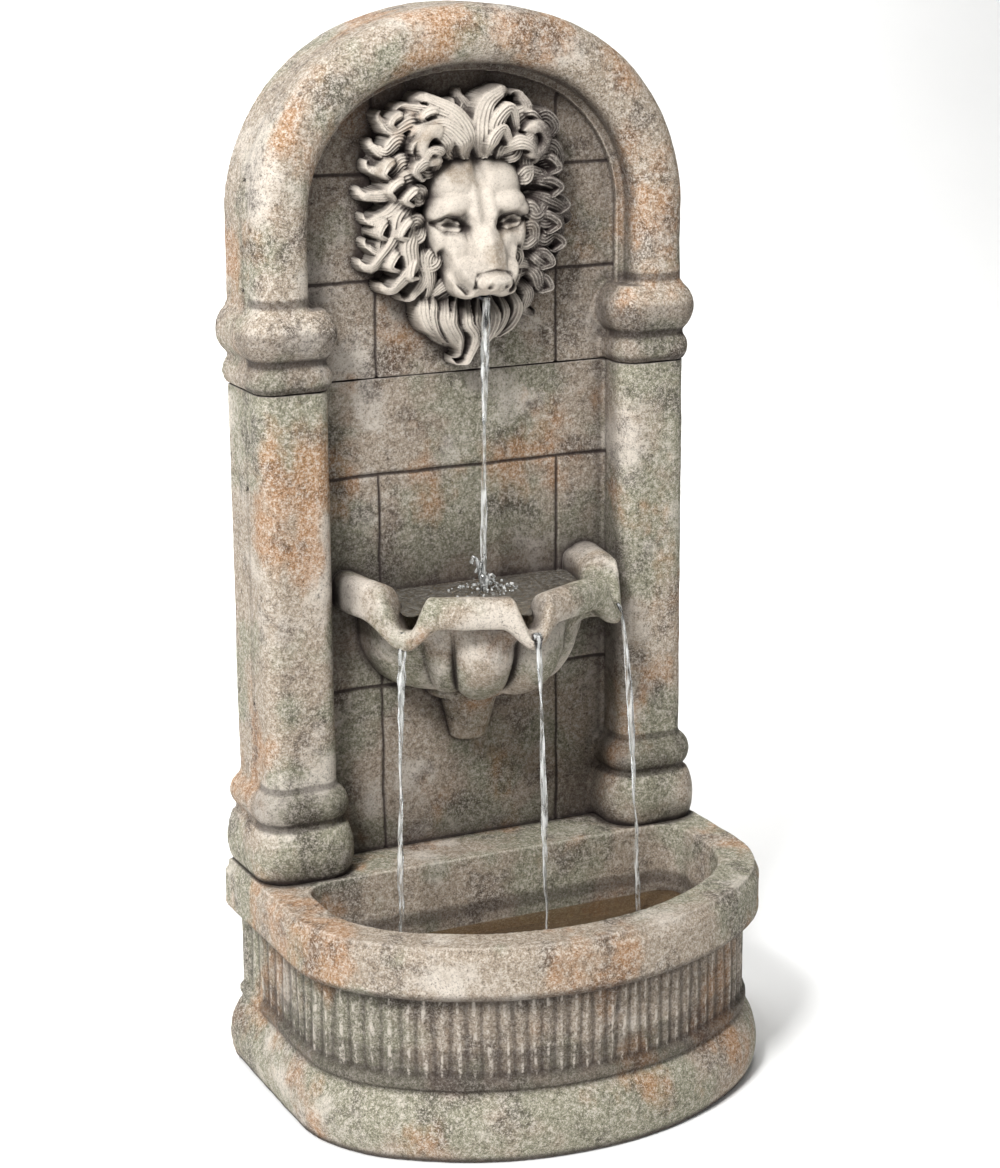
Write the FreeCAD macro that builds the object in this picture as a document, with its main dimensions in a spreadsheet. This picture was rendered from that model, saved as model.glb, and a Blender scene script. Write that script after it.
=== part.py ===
# Garden wall fountain: basin, column section, arch section, lion mask, scalloped bowl and the
# pump that lifts the water. Millimetres. X runs to the right, Y to the wall, Z up.
# The origin is on the floor, midway between the sides and between the wall and the rim's front.
import FreeCAD, Part
import Sketcher
import math
import os
from FreeCAD import Placement, Rotation, Vector

X = Vector(1, 0, 0)
Y = Vector(0, 1, 0)
Z = Vector(0, 0, 1)
ORIGIN = Vector(0, 0, 0)
EPS = 0.01

SIZES = [
    # the whole
    ("overall_height", 994, "floor to the crown of the arch"),
    ("overall_depth", 338, "wall face to the front of the rim"),
    ("rim_width", 460, "across the rim's lip"),
    ("casting_wall", 12, "wall of the cast sections"),
    ("back_wall", 11, "flat wall against the garden wall"),
    ("fit_gap", 0.3, "clearance round pieces that drop into castings"),
    # basin
    ("basin_height", 205, "floor to the rim and the deck"),
    ("rim_corner", 135, "radius of the basin's front corners"),
    ("rim_front", 281.4, "radius of the basin's front"),
    ("rim_breadth", 35, "flat top of the rim"),
    ("rim_bulge", 4, "roll standing out beyond the lip"),
    ("rim_band", 46, "height of the rim's band"),
    ("waist_inset", 11, "waist behind the lip"),
    ("plinth_height", 66, "height of the bottom roll"),
    ("plinth_fillet", 12, "narrow fillet between roll and waist"),
    ("lip_step", 6, "lip above the band"),
    ("deck_depth", 103, "deck behind the pool, under the sections"),
    ("pool_floor", 40, "floor to the bottom of the pool"),
    ("pool_slope", 14, "pool narrower at the bottom than at the top, each side"),
    ("pool_corner", 28, "rear corners of the pool"),
    ("floor_thick", 18, "thickness of the pool's floor"),
    ("foot_breadth", 28, "ring that the basin stands on"),
    ("chamber_width", 150, "pump chamber, left to right"),
    ("chamber_wall", 14, "wall between pool and pump chamber"),
    ("deck_thick", 15, "deck above the rear hollows"),
    ("slot_width", 110, "passage that the pump goes in by, pool to chamber"),
    ("slot_height", 70, "passage that the pump goes in by, pool to chamber"),
    ("grille_thick", 5, "grille in the passage"),
    ("grille_slots", 12, "slots in the grille"),
    ("grille_slot", 4, "width of a grille slot"),
    # column section
    ("arch_rise", 334, "joint under the arch section to the crown"),
    ("panel_depth", 46, "wall face to the panel between the columns"),
    ("column_depth", 88, "wall face to the front of the columns"),
    ("column_outer", 215.6, "centre to the outer side of a column"),
    ("column_width", 69, "left to right"),
    ("column_corner", 18, "rounding of the shafts"),
    ("base_block", 52, "height of the cushion under a column"),
    ("base_block_out", 15, "cushion standing out from the shaft"),
    ("base_ring", 33, "height of the ring on the cushion"),
    ("base_ring_out", 10, "ring standing out from the shaft"),
    ("cap_end", 20, "solid ends of the hollow columns"),
    # arch section
    ("groove", 3, "depth of the grooves between mouldings"),
    ("collar_height", 27, "lower ring of the capital"),
    ("collar_out", 4, "lower ring standing out"),
    ("torus_height", 46, "upper roll of the capital"),
    ("torus_out", 10.5, "upper roll standing out"),
    ("arch_outer", 214, "centre to the outside of the arch"),
    ("arch_shoulder", 180, "radius of the arch's shoulders"),
    ("arch_crown", 270, "radius of the arch's crown"),
    ("arch_band", 53, "breadth of the arch's roll"),
    ("arch_round", 22, "rounding of the roll's front"),
    ("reveal_band", 7, "narrow step inside the roll"),
    ("reveal_proud", 9, "step standing out from the panel"),
    # lion mask
    ("jet_drop", 256, "crown to the water jet's bore"),
    ("mane_radius", 98, "reach of the longest locks"),
    ("mane_drop", 182, "crown to the middle of the mane"),
    ("face_width", 104, "across the brow"),
    ("hairline_drop", 130, "crown to the hairline"),
    ("brow_proud", 52, "brow in front of the panel"),
    ("nose_proud", 72, "nose in front of the panel"),
    ("muzzle_width", 80, "across the cheeks"),
    ("muzzle_height", 58, "muzzle, lips to bridge"),
    ("head_height", 160, "skull, crown to jaw"),
    ("eye_rise", 68, "water jet to the eyes"),
    ("nose_rise", 30, "water jet to the tip of the nose"),
    ("bridge_length", 92, "bridge of the nose"),
    ("ear_width", 46, "ear across its root"),
    ("lock_width", 15, "half breadth of a lock at its root"),
    ("lock_thick", 13, "half thickness of a lock at its root"),
    ("outer_locks", 16, "locks in the mane's outer ring"),
    ("inner_locks", 11, "locks in the mane's inner ring"),
    ("beard_locks", 5, "locks under the chin"),
    # bowl
    ("bowl_radius", 148, "panel to the front spout"),
    ("bowl_base", 367, "floor to the bowl's flat underside"),
    ("bowl_foot", 46, "radius of the flat underside"),
    ("spout_level", 443, "floor to the spouts' lips"),
    ("petal_level", 481, "floor to the top of a petal"),
    ("bowl_wall", 11, "thickness of the bowl's wall"),
    ("bowl_back", 14, "bowl's own wall on the panel"),
    ("lobe_depth", 7, "tongues standing out of the bowl's side"),
    ("petals", 4, "rolled petals, with a spout between neighbours"),
    ("petal_sections", 6, "steps from a spout to the next one"),
    ("bracket_height", 61, "corbel under the bowl"),
    ("bracket_collar", 15, "collar at the corbel's top"),
    ("bracket_neck", 29, "radius under the corbel's collar"),
    ("bracket_tip", 20, "radius at the corbel's foot"),
    # water path
    ("hose_outer", 8, "radius of the riser hose"),
    ("hose_bore", 6, "bore radius of the riser hose"),
    ("hose_bend", 35, "bend behind the mask, on the hose's axis"),
    ("nozzle_length", 34, "jet tube, tail to mouth"),
    ("nozzle_bore", 4.2, "bore radius of the jet tube"),
    ("clamp_width", 7, "hose clamp"),
    ("clamp_thick", 1.2, "hose clamp"),
    # pump
    ("pump_setback", 37, "wall face to the pump's middle"),
    ("pump_lift", 5, "suction feet under the pump"),
    ("pump_height", 44, "pump body"),
    ("pump_width", 46, "pump body"),
    ("motor_length", 50, "potted motor block"),
    ("volute_radius", 17, "impeller chamber"),
    ("volute_depth", 17, "impeller chamber"),
    ("volute_flange", 5, "wall round the impeller chamber"),
    ("rotor_radius", 8.5, "magnet rotor"),
    ("rotor_length", 32, "magnet rotor"),
    ("rotor_gap", 0.8, "water gap round the rotor"),
    ("shaft_radius", 1.5, "ceramic shaft"),
    ("running_gap", 0.05, "between shaft and rotor"),
    ("bush_radius", 4, "rubber shaft bush"),
    ("bush_length", 4, "rubber shaft bush"),
    ("impeller_radius", 14, "vane tips"),
    ("impeller_width", 10, "vanes"),
    ("vanes", 6, "vanes on the impeller"),
    ("cover_thick", 4, "impeller chamber's cover"),
    ("cover_step", 2, "cover smaller than the chamber's wall"),
    ("inlet_radius", 9, "eye of the cover"),
    ("cap_length", 26, "intake cap"),
    ("cap_wall", 2, "intake cap"),
    ("cap_slots", 5, "slots on the cap's face"),
    ("outlet_rise", 14, "pump's outlet boss"),
    ("barb_length", 18, "hose tail on the pump"),
    ("knob_radius", 6, "flow knob"),
    ("knob_length", 6, "flow knob"),
    ("spindle_radius", 2, "flow knob's spindle"),
    ("foot_radius", 5, "suction foot"),
    ("gland_length", 12, "lead's gland on the motor"),
    ("gland_neck", 4, "radius of the gland's neck in the motor block"),
    ("gland_neck_length", 5, "gland's neck in the motor block"),
    # access door and fastenings
    ("seal_thick", 1.5, "door's seal"),
    ("door_width", 168, "plate of the access door"),
    ("door_height", 178, "plate of the access door"),
    ("door_thick", 4, "plate of the access door"),
    ("door_sill", 215, "floor to the door's lower edge"),
    ("door_ledge", 14, "ledge that the plate closes on"),
    ("coin_head", 7, "radius of a coin-slot fastener's head"),
    ("coin_shank", 3, "radius of its shank"),
    ("coin_thick", 2.5, "thickness of its head"),
    ("dowel_radius", 5, "locating dowels"),
    ("dowel_length", 28, "locating dowels"),
    ("strap_width", 36, "joint strap"),
    ("strap_height", 64, "joint strap"),
    ("strap_thick", 3, "joint strap"),
    ("screw_radius", 2.2, "strap screws"),
    ("stud_radius", 4, "studs of mask and bowl"),
    ("stud_reach", 14, "stud beyond the panel's inner face"),
    ("stud_root", 10, "stud moulded into its casting"),
    ("washer_radius", 9, "washers"),
    ("washer_thick", 1.6, "washers"),
    ("nut_flats", 13, "nuts, across flats"),
    ("nut_thick", 6.5, "nuts"),
    ("insert_radius", 5, "brass inserts for wall brackets"),
    ("insert_bore", 2.5, "brass inserts for wall brackets"),
    ("insert_spread", 100, "centre to an insert"),
    ("insert_drop", 132, "crown to the inserts"),
    ("grommet_bore", 4, "cable outlet"),
    ("grommet_radius", 7, "cable outlet's neck"),
    ("grommet_x", 110, "centre to the cable outlet"),
    ("grommet_height", 240, "floor to the cable outlet"),
    ("drain_radius", 10, "drain hole"),
    ("drain_x", -100, "drain hole"),
    ("drain_y", -30, "drain hole"),
    ("plug_flange", 15, "radius of the drain plug's flange"),
]


def make_sheet(doc):
    """Write the driving dimensions into the document's spreadsheet."""
    sheet = doc.addObject("Spreadsheet::Sheet", "sizes")
    for row, (alias, value, note) in enumerate(SIZES, 1):
        sheet.set("A%d" % row, note)
        sheet.set("B%d" % row, str(value))
        sheet.setAlias("B%d" % row, alias)
    doc.recompute()
    return sheet


# Places that several pieces share, worked out from the sheet

def wall_plane(s):
    return s.overall_depth / 2


def panel_plane(s):
    return wall_plane(s) - s.panel_depth


def column_front(s):
    return wall_plane(s) - s.column_depth


def pump_middle(s):
    return wall_plane(s) - s.pump_setback


def seam_height(s):
    """Joint between the column section and the arch section."""
    return s.overall_height - s.arch_rise


def jet_height(s):
    return s.overall_height - s.jet_drop


def mane_centre(s):
    return s.overall_height - s.mane_drop


def hairline(s):
    return s.overall_height - s.hairline_drop


def column_inner(s):
    return s.column_outer - s.column_width


def pool_back(s):
    return wall_plane(s) - s.deck_depth


def panel_inside(s):
    """Inner face of the panel's wall, where washers and nuts bear."""
    return panel_plane(s) + s.casting_wall


def hose_plane(s):
    """Middle of the hollow behind the panel, where the riser hose runs."""
    return (panel_inside(s) + wall_plane(s) - s.back_wall) / 2


def pump_axis(s):
    return s.pool_floor + s.pump_lift + s.pump_height / 2


def outlet_top(s):
    return pump_axis(s) + s.pump_height / 2 + s.outlet_rise


def capital_top(s):
    return seam_height(s) + s.collar_height + s.torus_height


def dowel_places(s):
    """Dowels stand in the middle of the columns."""
    x = s.column_outer - s.column_width / 2
    y = wall_plane(s) - s.column_depth / 2
    return [Vector(-x, y, 0), Vector(x, y, 0)]


def mask_studs(s):
    """One stud beside each eye."""
    wide = s.face_width / 2
    level = jet_height(s) + 2 * s.hose_bend
    return [(-wide, level), (wide, level)]


def bowl_studs(s):
    """Two studs in the bowl's back and two in the corbel's collar."""
    wide = s.bowl_foot
    level = (s.bowl_base + s.petal_level) / 2
    low = s.bowl_base - s.bracket_collar - 2
    return [(-wide, level), (wide, level), (-wide / 2, low), (wide / 2, low)]


# Geometry helpers

def profile_face(steps):
    """Face in the XZ plane. Two numbers are a line's end, four an arc's middle and end."""
    here = Vector(steps[0][0], 0, steps[0][1])
    first = here
    edges = []
    for step in steps[1:]:
        end = Vector(step[-2], 0, step[-1])
        if len(step) == 2:
            edges.append(Part.LineSegment(here, end).toShape())
        else:
            edges.append(Part.Arc(here, Vector(step[0], 0, step[1]), end).toShape())
        here = end
    if (here - first).Length > EPS:
        edges.append(Part.LineSegment(here, first).toShape())
    return Part.Face(Part.Wire(edges))


def walk(start, outward, axis, steps):
    """Runs of a flat path: (length,) goes straight, (radius, angle) bends round its inner side."""
    runs = []
    for step in steps:
        if len(step) == 1:
            runs.append((start, outward, None, step[0]))
            start = start + axis.cross(outward) * step[0]
        else:
            centre = start - outward * step[0]
            turn = Rotation(axis, step[1])
            runs.append((start, outward, centre, step[1]))
            start = centre + turn.multVec(start - centre)
            outward = turn.multVec(outward)
    return runs


def swept(face, runs, axis):
    """Carry a profile along the runs: local X points outward, local Z along the axis."""
    solids = []
    for start, outward, centre, amount in runs:
        placed = face.copy()
        placed.Placement = Placement(start, Rotation(outward, axis.cross(outward), axis, "XZY"))
        if centre is None:
            solids.append(placed.extrude(axis.cross(outward) * amount))
        else:
            solids.append(placed.revolve(centre, axis, amount))
    return solids


def outline(runs, axis, offset, closing=()):
    """Closed face whose edge follows the runs at an offset, closed through the given points."""
    edges = []
    for start, outward, centre, amount in runs:
        first = start + outward * offset
        if centre is None:
            last = first + axis.cross(outward) * amount
            edges.append(Part.LineSegment(first, last).toShape())
        else:
            middle = centre + Rotation(axis, amount / 2).multVec(first - centre)
            last = centre + Rotation(axis, amount).multVec(first - centre)
            edges.append(Part.Arc(first, middle, last).toShape())
    corners = [last] + list(closing) + [edges[0].Vertexes[0].Point]
    for a, b in zip(corners, corners[1:]):
        edges.append(Part.LineSegment(a, b).toShape())
    return Part.Face(Part.Wire(edges))


def box(x0, x1, y0, y1, z0, z1):
    return Part.makeBox(x1 - x0, y1 - y0, z1 - z0, Vector(x0, y0, z0))


def rod(radius, start, direction, length):
    return Part.makeCylinder(radius, length, start, direction)


def ring(outer, inner, start, direction, length):
    return rod(outer, start, direction, length).cut(rod(inner, start, direction, length))


def mirrored(shape):
    return shape.mirror(ORIGIN, X)


def both_sides(shape):
    return [shape, mirrored(shape)]


def fused(shapes):
    return shapes[0].multiFuse(shapes[1:]).removeSplitter()


def turned(profile, centre):
    """Solid of revolution about a vertical axis, from a profile in (radius, height)."""
    solid = profile_face(profile).revolve(ORIGIN, Z, 360)
    solid.translate(centre)
    return solid


def feature(doc, label, shape):
    """Keep a shape as a named sub-part."""
    made = doc.addObject("Part::Feature", label)
    made.Label = label
    if shape.ShapeType == "Compound" and len(shape.Solids) == 1:
        shape = shape.Solids[0]
    made.Shape = shape
    return made


def basket(half, shoulder, crown):
    """Rise and shoulder angle of a three-centred arch of the given half width and radii."""
    drop = math.sqrt((crown - shoulder) ** 2 - (half - shoulder) ** 2)
    return crown - drop, math.degrees(math.atan2(drop, half - shoulder))


# Basin

def rim_path(s, level):
    """The lip's line, from the wall round the front and back to the wall."""
    half = s.rim_width / 2
    rise, angle = basket(half, s.rim_corner, s.rim_front)
    side = s.overall_depth - s.rim_bulge - rise
    start = Vector(-half, wall_plane(s), level)
    corner = (s.rim_corner, angle)
    return walk(start, -X, Z, [(side,), corner, (s.rim_front, 180 - 2 * angle), corner, (side,)])


def rim_profile(s):
    """Section of the basin's side: bottom roll, fillet, waist, band and lip."""
    root = -s.rim_breadth
    top = s.basin_height
    band = top - s.rim_band
    edge = top - s.lip_step
    fillet = s.plinth_height + s.plinth_fillet
    half_inset = s.waist_inset / 2
    return profile_face([
        (root, 0), (-half_inset / 2, 0),
        (s.rim_bulge, s.plinth_height * 0.45, -s.waist_inset, s.plinth_height),
        (-half_inset - 1, s.plinth_height + 1), (-half_inset - 1, fillet - 3),
        (-s.waist_inset, fillet), (-s.waist_inset, band - 6), (-half_inset, band - 6),
        (s.rim_bulge / 2, band - 2, s.rim_bulge, band + 8), (s.rim_bulge, edge - 10),
        (s.rim_bulge - 1, edge - 3, 0, edge), (0, top), (root, top),
    ])


def pool_face(s, offset, level):
    """Outline of the pool: the rim's line moved in, cut off straight at the deck."""
    path = rim_path(s, level)
    whole = outline(path, Z, offset)
    wide = s.rim_width
    back = pool_back(s) + (offset + s.rim_breadth)
    front = box(-wide, wide, -wide, back, level - 1, level + 1)
    return whole.common(front).Faces[0]


def basin(doc, s):
    """Cast basin: pool in front, pump chamber and hollows under the deck behind."""
    path = rim_path(s, 0)
    solids = swept(rim_profile(s), path, Z)
    core = outline(path, Z, -s.rim_breadth + 1).extrude(Z * s.basin_height)
    body = fused(solids + [core])

    upper = pool_face(s, -s.rim_breadth, s.basin_height)
    lower = pool_face(s, -s.rim_breadth - s.pool_slope, s.pool_floor)
    pool = Part.makeLoft([upper.OuterWire, lower.OuterWire], True, True)
    uprights = [edge for edge in pool.Edges if edge.BoundBox.YMin > pool_back(s) - s.pool_slope - 1
                and edge.BoundBox.ZLength > 1]
    pool = pool.makeFillet(s.pool_corner, uprights)

    half = s.chamber_width / 2
    near = pool_back(s) + s.chamber_wall
    wall = wall_plane(s) - s.casting_wall
    under_deck = s.basin_height - s.deck_thick
    under_floor = s.pool_floor - s.floor_thick
    recess = outline(path, Z, -s.foot_breadth).extrude(Z * under_floor)
    recess = recess.common(box(-s.rim_width, s.rim_width, -s.overall_depth, pool_back(s), 0, under_floor))
    outer = s.rim_width / 2 - s.waist_inset - s.casting_wall
    well = box(-outer, -half - s.casting_wall, pool_back(s) + s.casting_wall, wall, -1, under_deck)

    chamber = box(-half, half, near, wall, s.pool_floor, under_deck)
    riser = box(s.casting_wall - half, half - s.casting_wall, panel_inside(s), wall_plane(s) - s.back_wall,
                under_deck - 1, s.basin_height + 1)
    slot = box(-s.slot_width / 2, s.slot_width / 2, pool_back(s) - s.pool_slope - 1, near + 1,
               s.pool_floor, s.pool_floor + s.slot_height)
    drain = rod(s.drain_radius + s.fit_gap, Vector(s.drain_x, s.drain_y, 0), Z, s.basin_height)
    holes = [rod(s.dowel_radius + s.fit_gap, place + Z * (under_deck - 1), Z, s.deck_thick + 2)
             for place in dowel_places(s)]
    body = body.cut([pool, recess, chamber, riser, slot, drain] + both_sides(well) + holes)
    return feature(doc, "basin", body)


# Column section

def column_path(s, level):
    """Round the left column, from the wall along its outer side to the panel."""
    side = s.column_depth - s.column_corner
    width = s.column_width - 2 * s.column_corner
    inner = s.column_depth - s.panel_depth - s.column_corner + 2
    corner = (s.column_corner, 90)
    start = Vector(-s.column_outer, wall_plane(s), level)
    return walk(start, -X, Z, [(side,), corner, (width,), corner, (inner,)])


def column_core(s, level, height):
    path = column_path(s, level)
    inner = Vector(-column_inner(s), wall_plane(s), level)
    return outline(path, Z, 0, [inner]).extrude(Z * height)


def base_profile(s, height):
    """Cushion and ring at the foot of a column, then the plain shaft."""
    root = -s.column_corner / 2
    out = s.base_block_out
    ring_top = s.base_block + s.base_ring
    return profile_face([
        (root, 0), (out - 4, 0),
        (out, s.base_block * 0.42, out - 6, s.base_block - 4), (s.groove, s.base_block),
        (s.base_ring_out + 1, s.base_block + s.base_ring * 0.45, 1, ring_top - 1),
        (0, ring_top + 3), (0, height), (root, height),
    ])


def column_section(doc, s):
    """Panel between two columns, cast hollow, with a door opening in its back."""
    height = seam_height(s) - s.basin_height
    base = s.basin_height
    mouldings = fused(swept(base_profile(s, height), column_path(s, base), Z)
                      + [column_core(s, base, height)])
    inner = column_inner(s)
    panel = box(-inner - 1, inner + 1, panel_plane(s), wall_plane(s), base, seam_height(s))
    body = fused(both_sides(mouldings) + [panel])

    back = wall_plane(s) - s.back_wall
    centre = box(s.casting_wall - inner, inner - s.casting_wall, panel_inside(s), back,
                 base - 1, seam_height(s) + 1)
    low = base + s.cap_end
    high = seam_height(s) - s.cap_end
    shaft = box(inner + s.casting_wall, s.column_outer - s.casting_wall,
                column_front(s) + s.casting_wall, back, low, high)
    link = box(inner - s.casting_wall - 1, inner + s.casting_wall + 1, panel_inside(s), back, low, high)
    door = door_opening(s)
    holes = []
    deep = s.dowel_length / 2 + 1
    for place in dowel_places(s):
        holes.append(rod(s.dowel_radius + s.fit_gap, place + Z * (base - 1), Z, deep))
        holes.append(rod(s.dowel_radius + s.fit_gap, place + Z * (seam_height(s) + 1), -Z, deep))
    studs = [rod(s.stud_radius + s.fit_gap, Vector(x, panel_plane(s) - 1, z), Y, s.casting_wall + 2)
             for x, z in bowl_studs(s)]
    cable = rod(s.grommet_radius, Vector(s.grommet_x, back - 1, s.grommet_height), Y, s.back_wall + 2)
    body = body.cut([centre, cable] + both_sides(shaft) + both_sides(link) + door + holes + studs
                    + strap_recesses(s) + strap_holes(s))
    return feature(doc, "column_section", body)


def door_opening(s):
    """Rebate for the door's plate, the opening inside it and the fasteners' holes."""
    half = s.door_width / 2 + s.fit_gap
    top = s.door_sill + s.door_height
    wall = wall_plane(s)
    rebate = box(-half, half, wall - s.door_thick - s.seal_thick, wall + 1,
                 s.door_sill - s.fit_gap, top + s.fit_gap)
    half = s.door_width / 2 - s.door_ledge
    through = box(-half, half, wall - s.back_wall - 1, wall + 1,
                  s.door_sill + s.door_ledge, top - s.door_ledge)
    holes = [rod(s.coin_shank + s.fit_gap, Vector(x, wall - s.back_wall - 1, z), Y, s.back_wall + 2)
             for x, z in coin_places(s)]
    return [rebate, through] + holes


def coin_places(s):
    """The two fasteners sit on the middle of the ledge's sides."""
    x = s.door_width / 2 - s.door_ledge / 2
    z = s.door_sill + s.door_height / 2
    return [(-x, z), (x, z)]


def strap_places(s):
    x = s.column_outer - s.column_width / 2
    return [-x, x]


def strap_recesses(s):
    """Shallow recesses across the seam, in the back of both sections."""
    half = s.strap_width / 2 + s.fit_gap
    wall = wall_plane(s)
    low = seam_height(s) - s.strap_height / 2 - s.fit_gap
    high = seam_height(s) + s.strap_height / 2 + s.fit_gap
    return [box(x - half, x + half, wall - s.strap_thick, wall + 1, low, high) for x in strap_places(s)]


def strap_screw_places(s):
    """Two screws in each strap, one above the seam and one below it."""
    quarter = s.strap_height / 4
    return [(x, seam_height(s) + rise) for x in strap_places(s) for rise in (-quarter, quarter)]


def strap_holes(s):
    depth = wall_plane(s) - s.strap_thick - screw_length(s)
    return [rod(s.screw_radius, Vector(x, depth, z), Y, screw_length(s) + 1)
            for x, z in strap_screw_places(s)]


def screw_length(s):
    return s.back_wall - s.strap_thick - 1


# Arch section

def arch_path(s):
    """The arch's outer line, from inside the left capital over to the right one."""
    rise, angle = basket(s.arch_outer, s.arch_shoulder, s.arch_crown)
    foot = capital_top(s) - s.torus_height / 2
    leg = s.overall_height - rise - foot
    start = Vector(-s.arch_outer, 0, foot)
    shoulder = (s.arch_shoulder, angle)
    return walk(start, -X, Y, [(leg,), shoulder, (s.arch_crown, 180 - 2 * angle), shoulder, (leg,)])


def arch_profile(s):
    """Section of the arch: a round-fronted roll and the narrow step inside it."""
    front = column_front(s)
    wall = wall_plane(s)
    step = panel_plane(s) - s.reveal_proud
    bite = s.arch_round * (1 - math.sqrt(0.5))
    inner = -s.arch_band
    return profile_face([
        (0, wall), (0, front + s.arch_round),
        (-bite, front + bite, -s.arch_round, front), (inner + s.arch_round, front),
        (inner + bite, front + bite, inner, front + s.arch_round), (inner, step),
        (inner - s.reveal_band, step), (inner - s.reveal_band, wall),
    ])


def capital_profile(s):
    """Lower collar and upper roll of the capital."""
    root = -s.column_corner / 2
    top = s.collar_height + s.torus_height
    return profile_face([
        (root, 0), (0, 0),
        (s.collar_out + 1, s.collar_height * 0.42, 0, s.collar_height - s.groove), (-s.groove, s.collar_height),
        (s.torus_out, s.collar_height + s.torus_height / 2, -s.groove, top), (root, top),
    ])


def arch_section(doc, s):
    """Arched top with its capitals and panel, cast hollow and open below."""
    seam = seam_height(s)
    capital = fused(swept(capital_profile(s), column_path(s, seam), Z)
                    + [column_core(s, seam, s.collar_height + s.torus_height)])
    path = arch_path(s)
    roll = fused(swept(arch_profile(s), path, Y))
    panel = outline(path, Y, -s.arch_band)
    panel.translate(Y * panel_plane(s))
    panel = panel.extrude(Y * s.panel_depth)
    inner = column_inner(s)
    foot = box(-inner - 1, inner + 1, panel_plane(s), wall_plane(s), seam, capital_top(s))
    body = fused(both_sides(capital) + [roll, panel, foot])

    back = wall_plane(s) - s.back_wall
    deep = back - panel_inside(s)
    void = outline(path, Y, -s.arch_band - s.reveal_band)
    void.translate(Y * panel_inside(s))
    void = void.extrude(Y * deep)
    low = box(s.casting_wall - inner, inner - s.casting_wall, panel_inside(s), back,
              seam - 1, capital_top(s))
    tube = profile_face([(-s.casting_wall, back), (-s.casting_wall, column_front(s) + 2 * s.casting_wall),
                         (s.casting_wall - s.arch_band, column_front(s) + 2 * s.casting_wall),
                         (s.casting_wall - s.arch_band, back)])
    tube = fused(swept(tube, path, Y))
    legs = box(-s.rim_width, s.rim_width, 0, wall_plane(s), 0, capital_top(s) + s.cap_end)
    tube = tube.cut(legs)
    hose = s.hose_outer + 2
    slot = box(-hose, hose, panel_plane(s) - 1, panel_inside(s) + 1,
               jet_height(s) - s.hose_outer * 3, jet_height(s) + s.hose_outer * 1.5)
    holes = [rod(s.dowel_radius + s.fit_gap, place + Z * (seam - 1), Z, s.dowel_length / 2 + 1)
             for place in dowel_places(s)]
    studs = [rod(s.stud_radius + s.fit_gap, Vector(x, panel_plane(s) - 1, z), Y, s.casting_wall + 2)
             for x, z in mask_studs(s)]
    inserts = [rod(s.insert_radius, Vector(x, back - 1, s.overall_height - s.insert_drop), Y, s.back_wall + 2)
               for x in (-s.insert_spread, s.insert_spread)]
    body = body.cut([void, low, tube, slot] + holes + studs + inserts + strap_recesses(s) + strap_holes(s))
    return feature(doc, "arch_section", body)


# Lion mask

def faceted(rings):
    """Closed body of flat facets through rings that have the same number of points."""
    facets = []
    count = len(rings[0])
    for lower, upper in zip(rings, rings[1:]):
        for k in range(count):
            follow = (k + 1) % count
            facets.append([lower[k], lower[follow], upper[follow]])
            facets.append([lower[k], upper[follow], upper[k]])
    facets.append(list(reversed(rings[0])))
    facets.append(rings[-1])
    shell = Part.Shell([Part.Face(Part.makePolygon(facet + [facet[0]])) for facet in facets])
    solid = Part.Solid(shell)
    if solid.Volume < 0:
        solid.reverse()
    return solid


def lock(root, heading, length, width, thick, curl):
    """A curling lock of hair: narrowing six-sided sections along a bending line."""
    rings = []
    here = root
    angle = heading
    shares = (0.0, 0.3, 0.6, 0.85, 1.0)
    for share, step in zip(shares, (0.3, 0.3, 0.25, 0.15, 0.0)):
        along = Vector(math.cos(angle), 0, math.sin(angle))
        side = Vector(along.z, 0, -along.x)
        swell = math.cos(share * 1.35)
        corners = [math.radians(60 * corner) for corner in range(6)]
        rings.append([here + side * (width * swell * math.cos(turn)) - Y * (thick * swell * math.sin(turn))
                      for turn in corners])
        here = here + along * (length * step) + Y * (thick * 0.64 * step)
        angle += curl * step
    return faceted(rings)


def mane(s):
    """Two rings of locks round the face and a fan of locks under the chin."""
    plane = panel_plane(s)
    centre = Vector(0, plane, mane_centre(s))
    wide = s.face_width / 2
    locks = []
    for k in range(int(s.outer_locks)):
        turn = math.radians(-68 + 316 * k / (s.outer_locks - 1))
        out = Vector(math.cos(turn), 0, math.sin(turn) * 1.08)
        root = centre + out * (wide * 1.05) - Y * 15
        side = 1 if k % 2 else -1
        length = s.mane_radius - wide * 1.05 - 4 + 5 * math.sin(2.7 * k)
        locks.append(lock(root, turn, length, s.lock_width, s.lock_thick, 0.8 * side))
    for k in range(int(s.inner_locks)):
        turn = math.radians(-40 + 260 * k / (s.inner_locks - 1))
        out = Vector(math.cos(turn), 0, math.sin(turn) * 1.1)
        root = centre + out * (wide * 0.86) - Y * 31
        side = -1 if k % 2 else 1
        locks.append(lock(root, turn, wide * 0.5, s.lock_width - 2, s.lock_thick - 1, 0.9 * side))
    for k in range(int(s.beard_locks)):
        share = k / (s.beard_locks - 1) * 2 - 1
        turn = math.radians(-90 + 38 * share)
        root = Vector(share * s.muzzle_width * 0.42, plane - 17, jet_height(s) + 6)
        length = jet_height(s) - seam_height(s) - 24 - 26 * abs(share)
        locks.append(lock(root, turn, length, s.lock_width - 2, s.lock_thick - 1, -0.5 * share))
    return locks


def oval(width, height, centre, sides=14):
    """Points of an oval that faces the viewer."""
    turns = [2 * math.pi * (k + 0.5) / sides for k in range(sides)]
    return [centre + Vector(width / 2 * math.cos(turn), 0, height / 2 * math.sin(turn)) for turn in turns]


def carved(sections):
    """Faceted body through ovals, each given as width, height, X, Y and Z of its middle."""
    return faceted([oval(wide, tall, Vector(x, y, z)) for wide, tall, x, y, z in sections])


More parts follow.
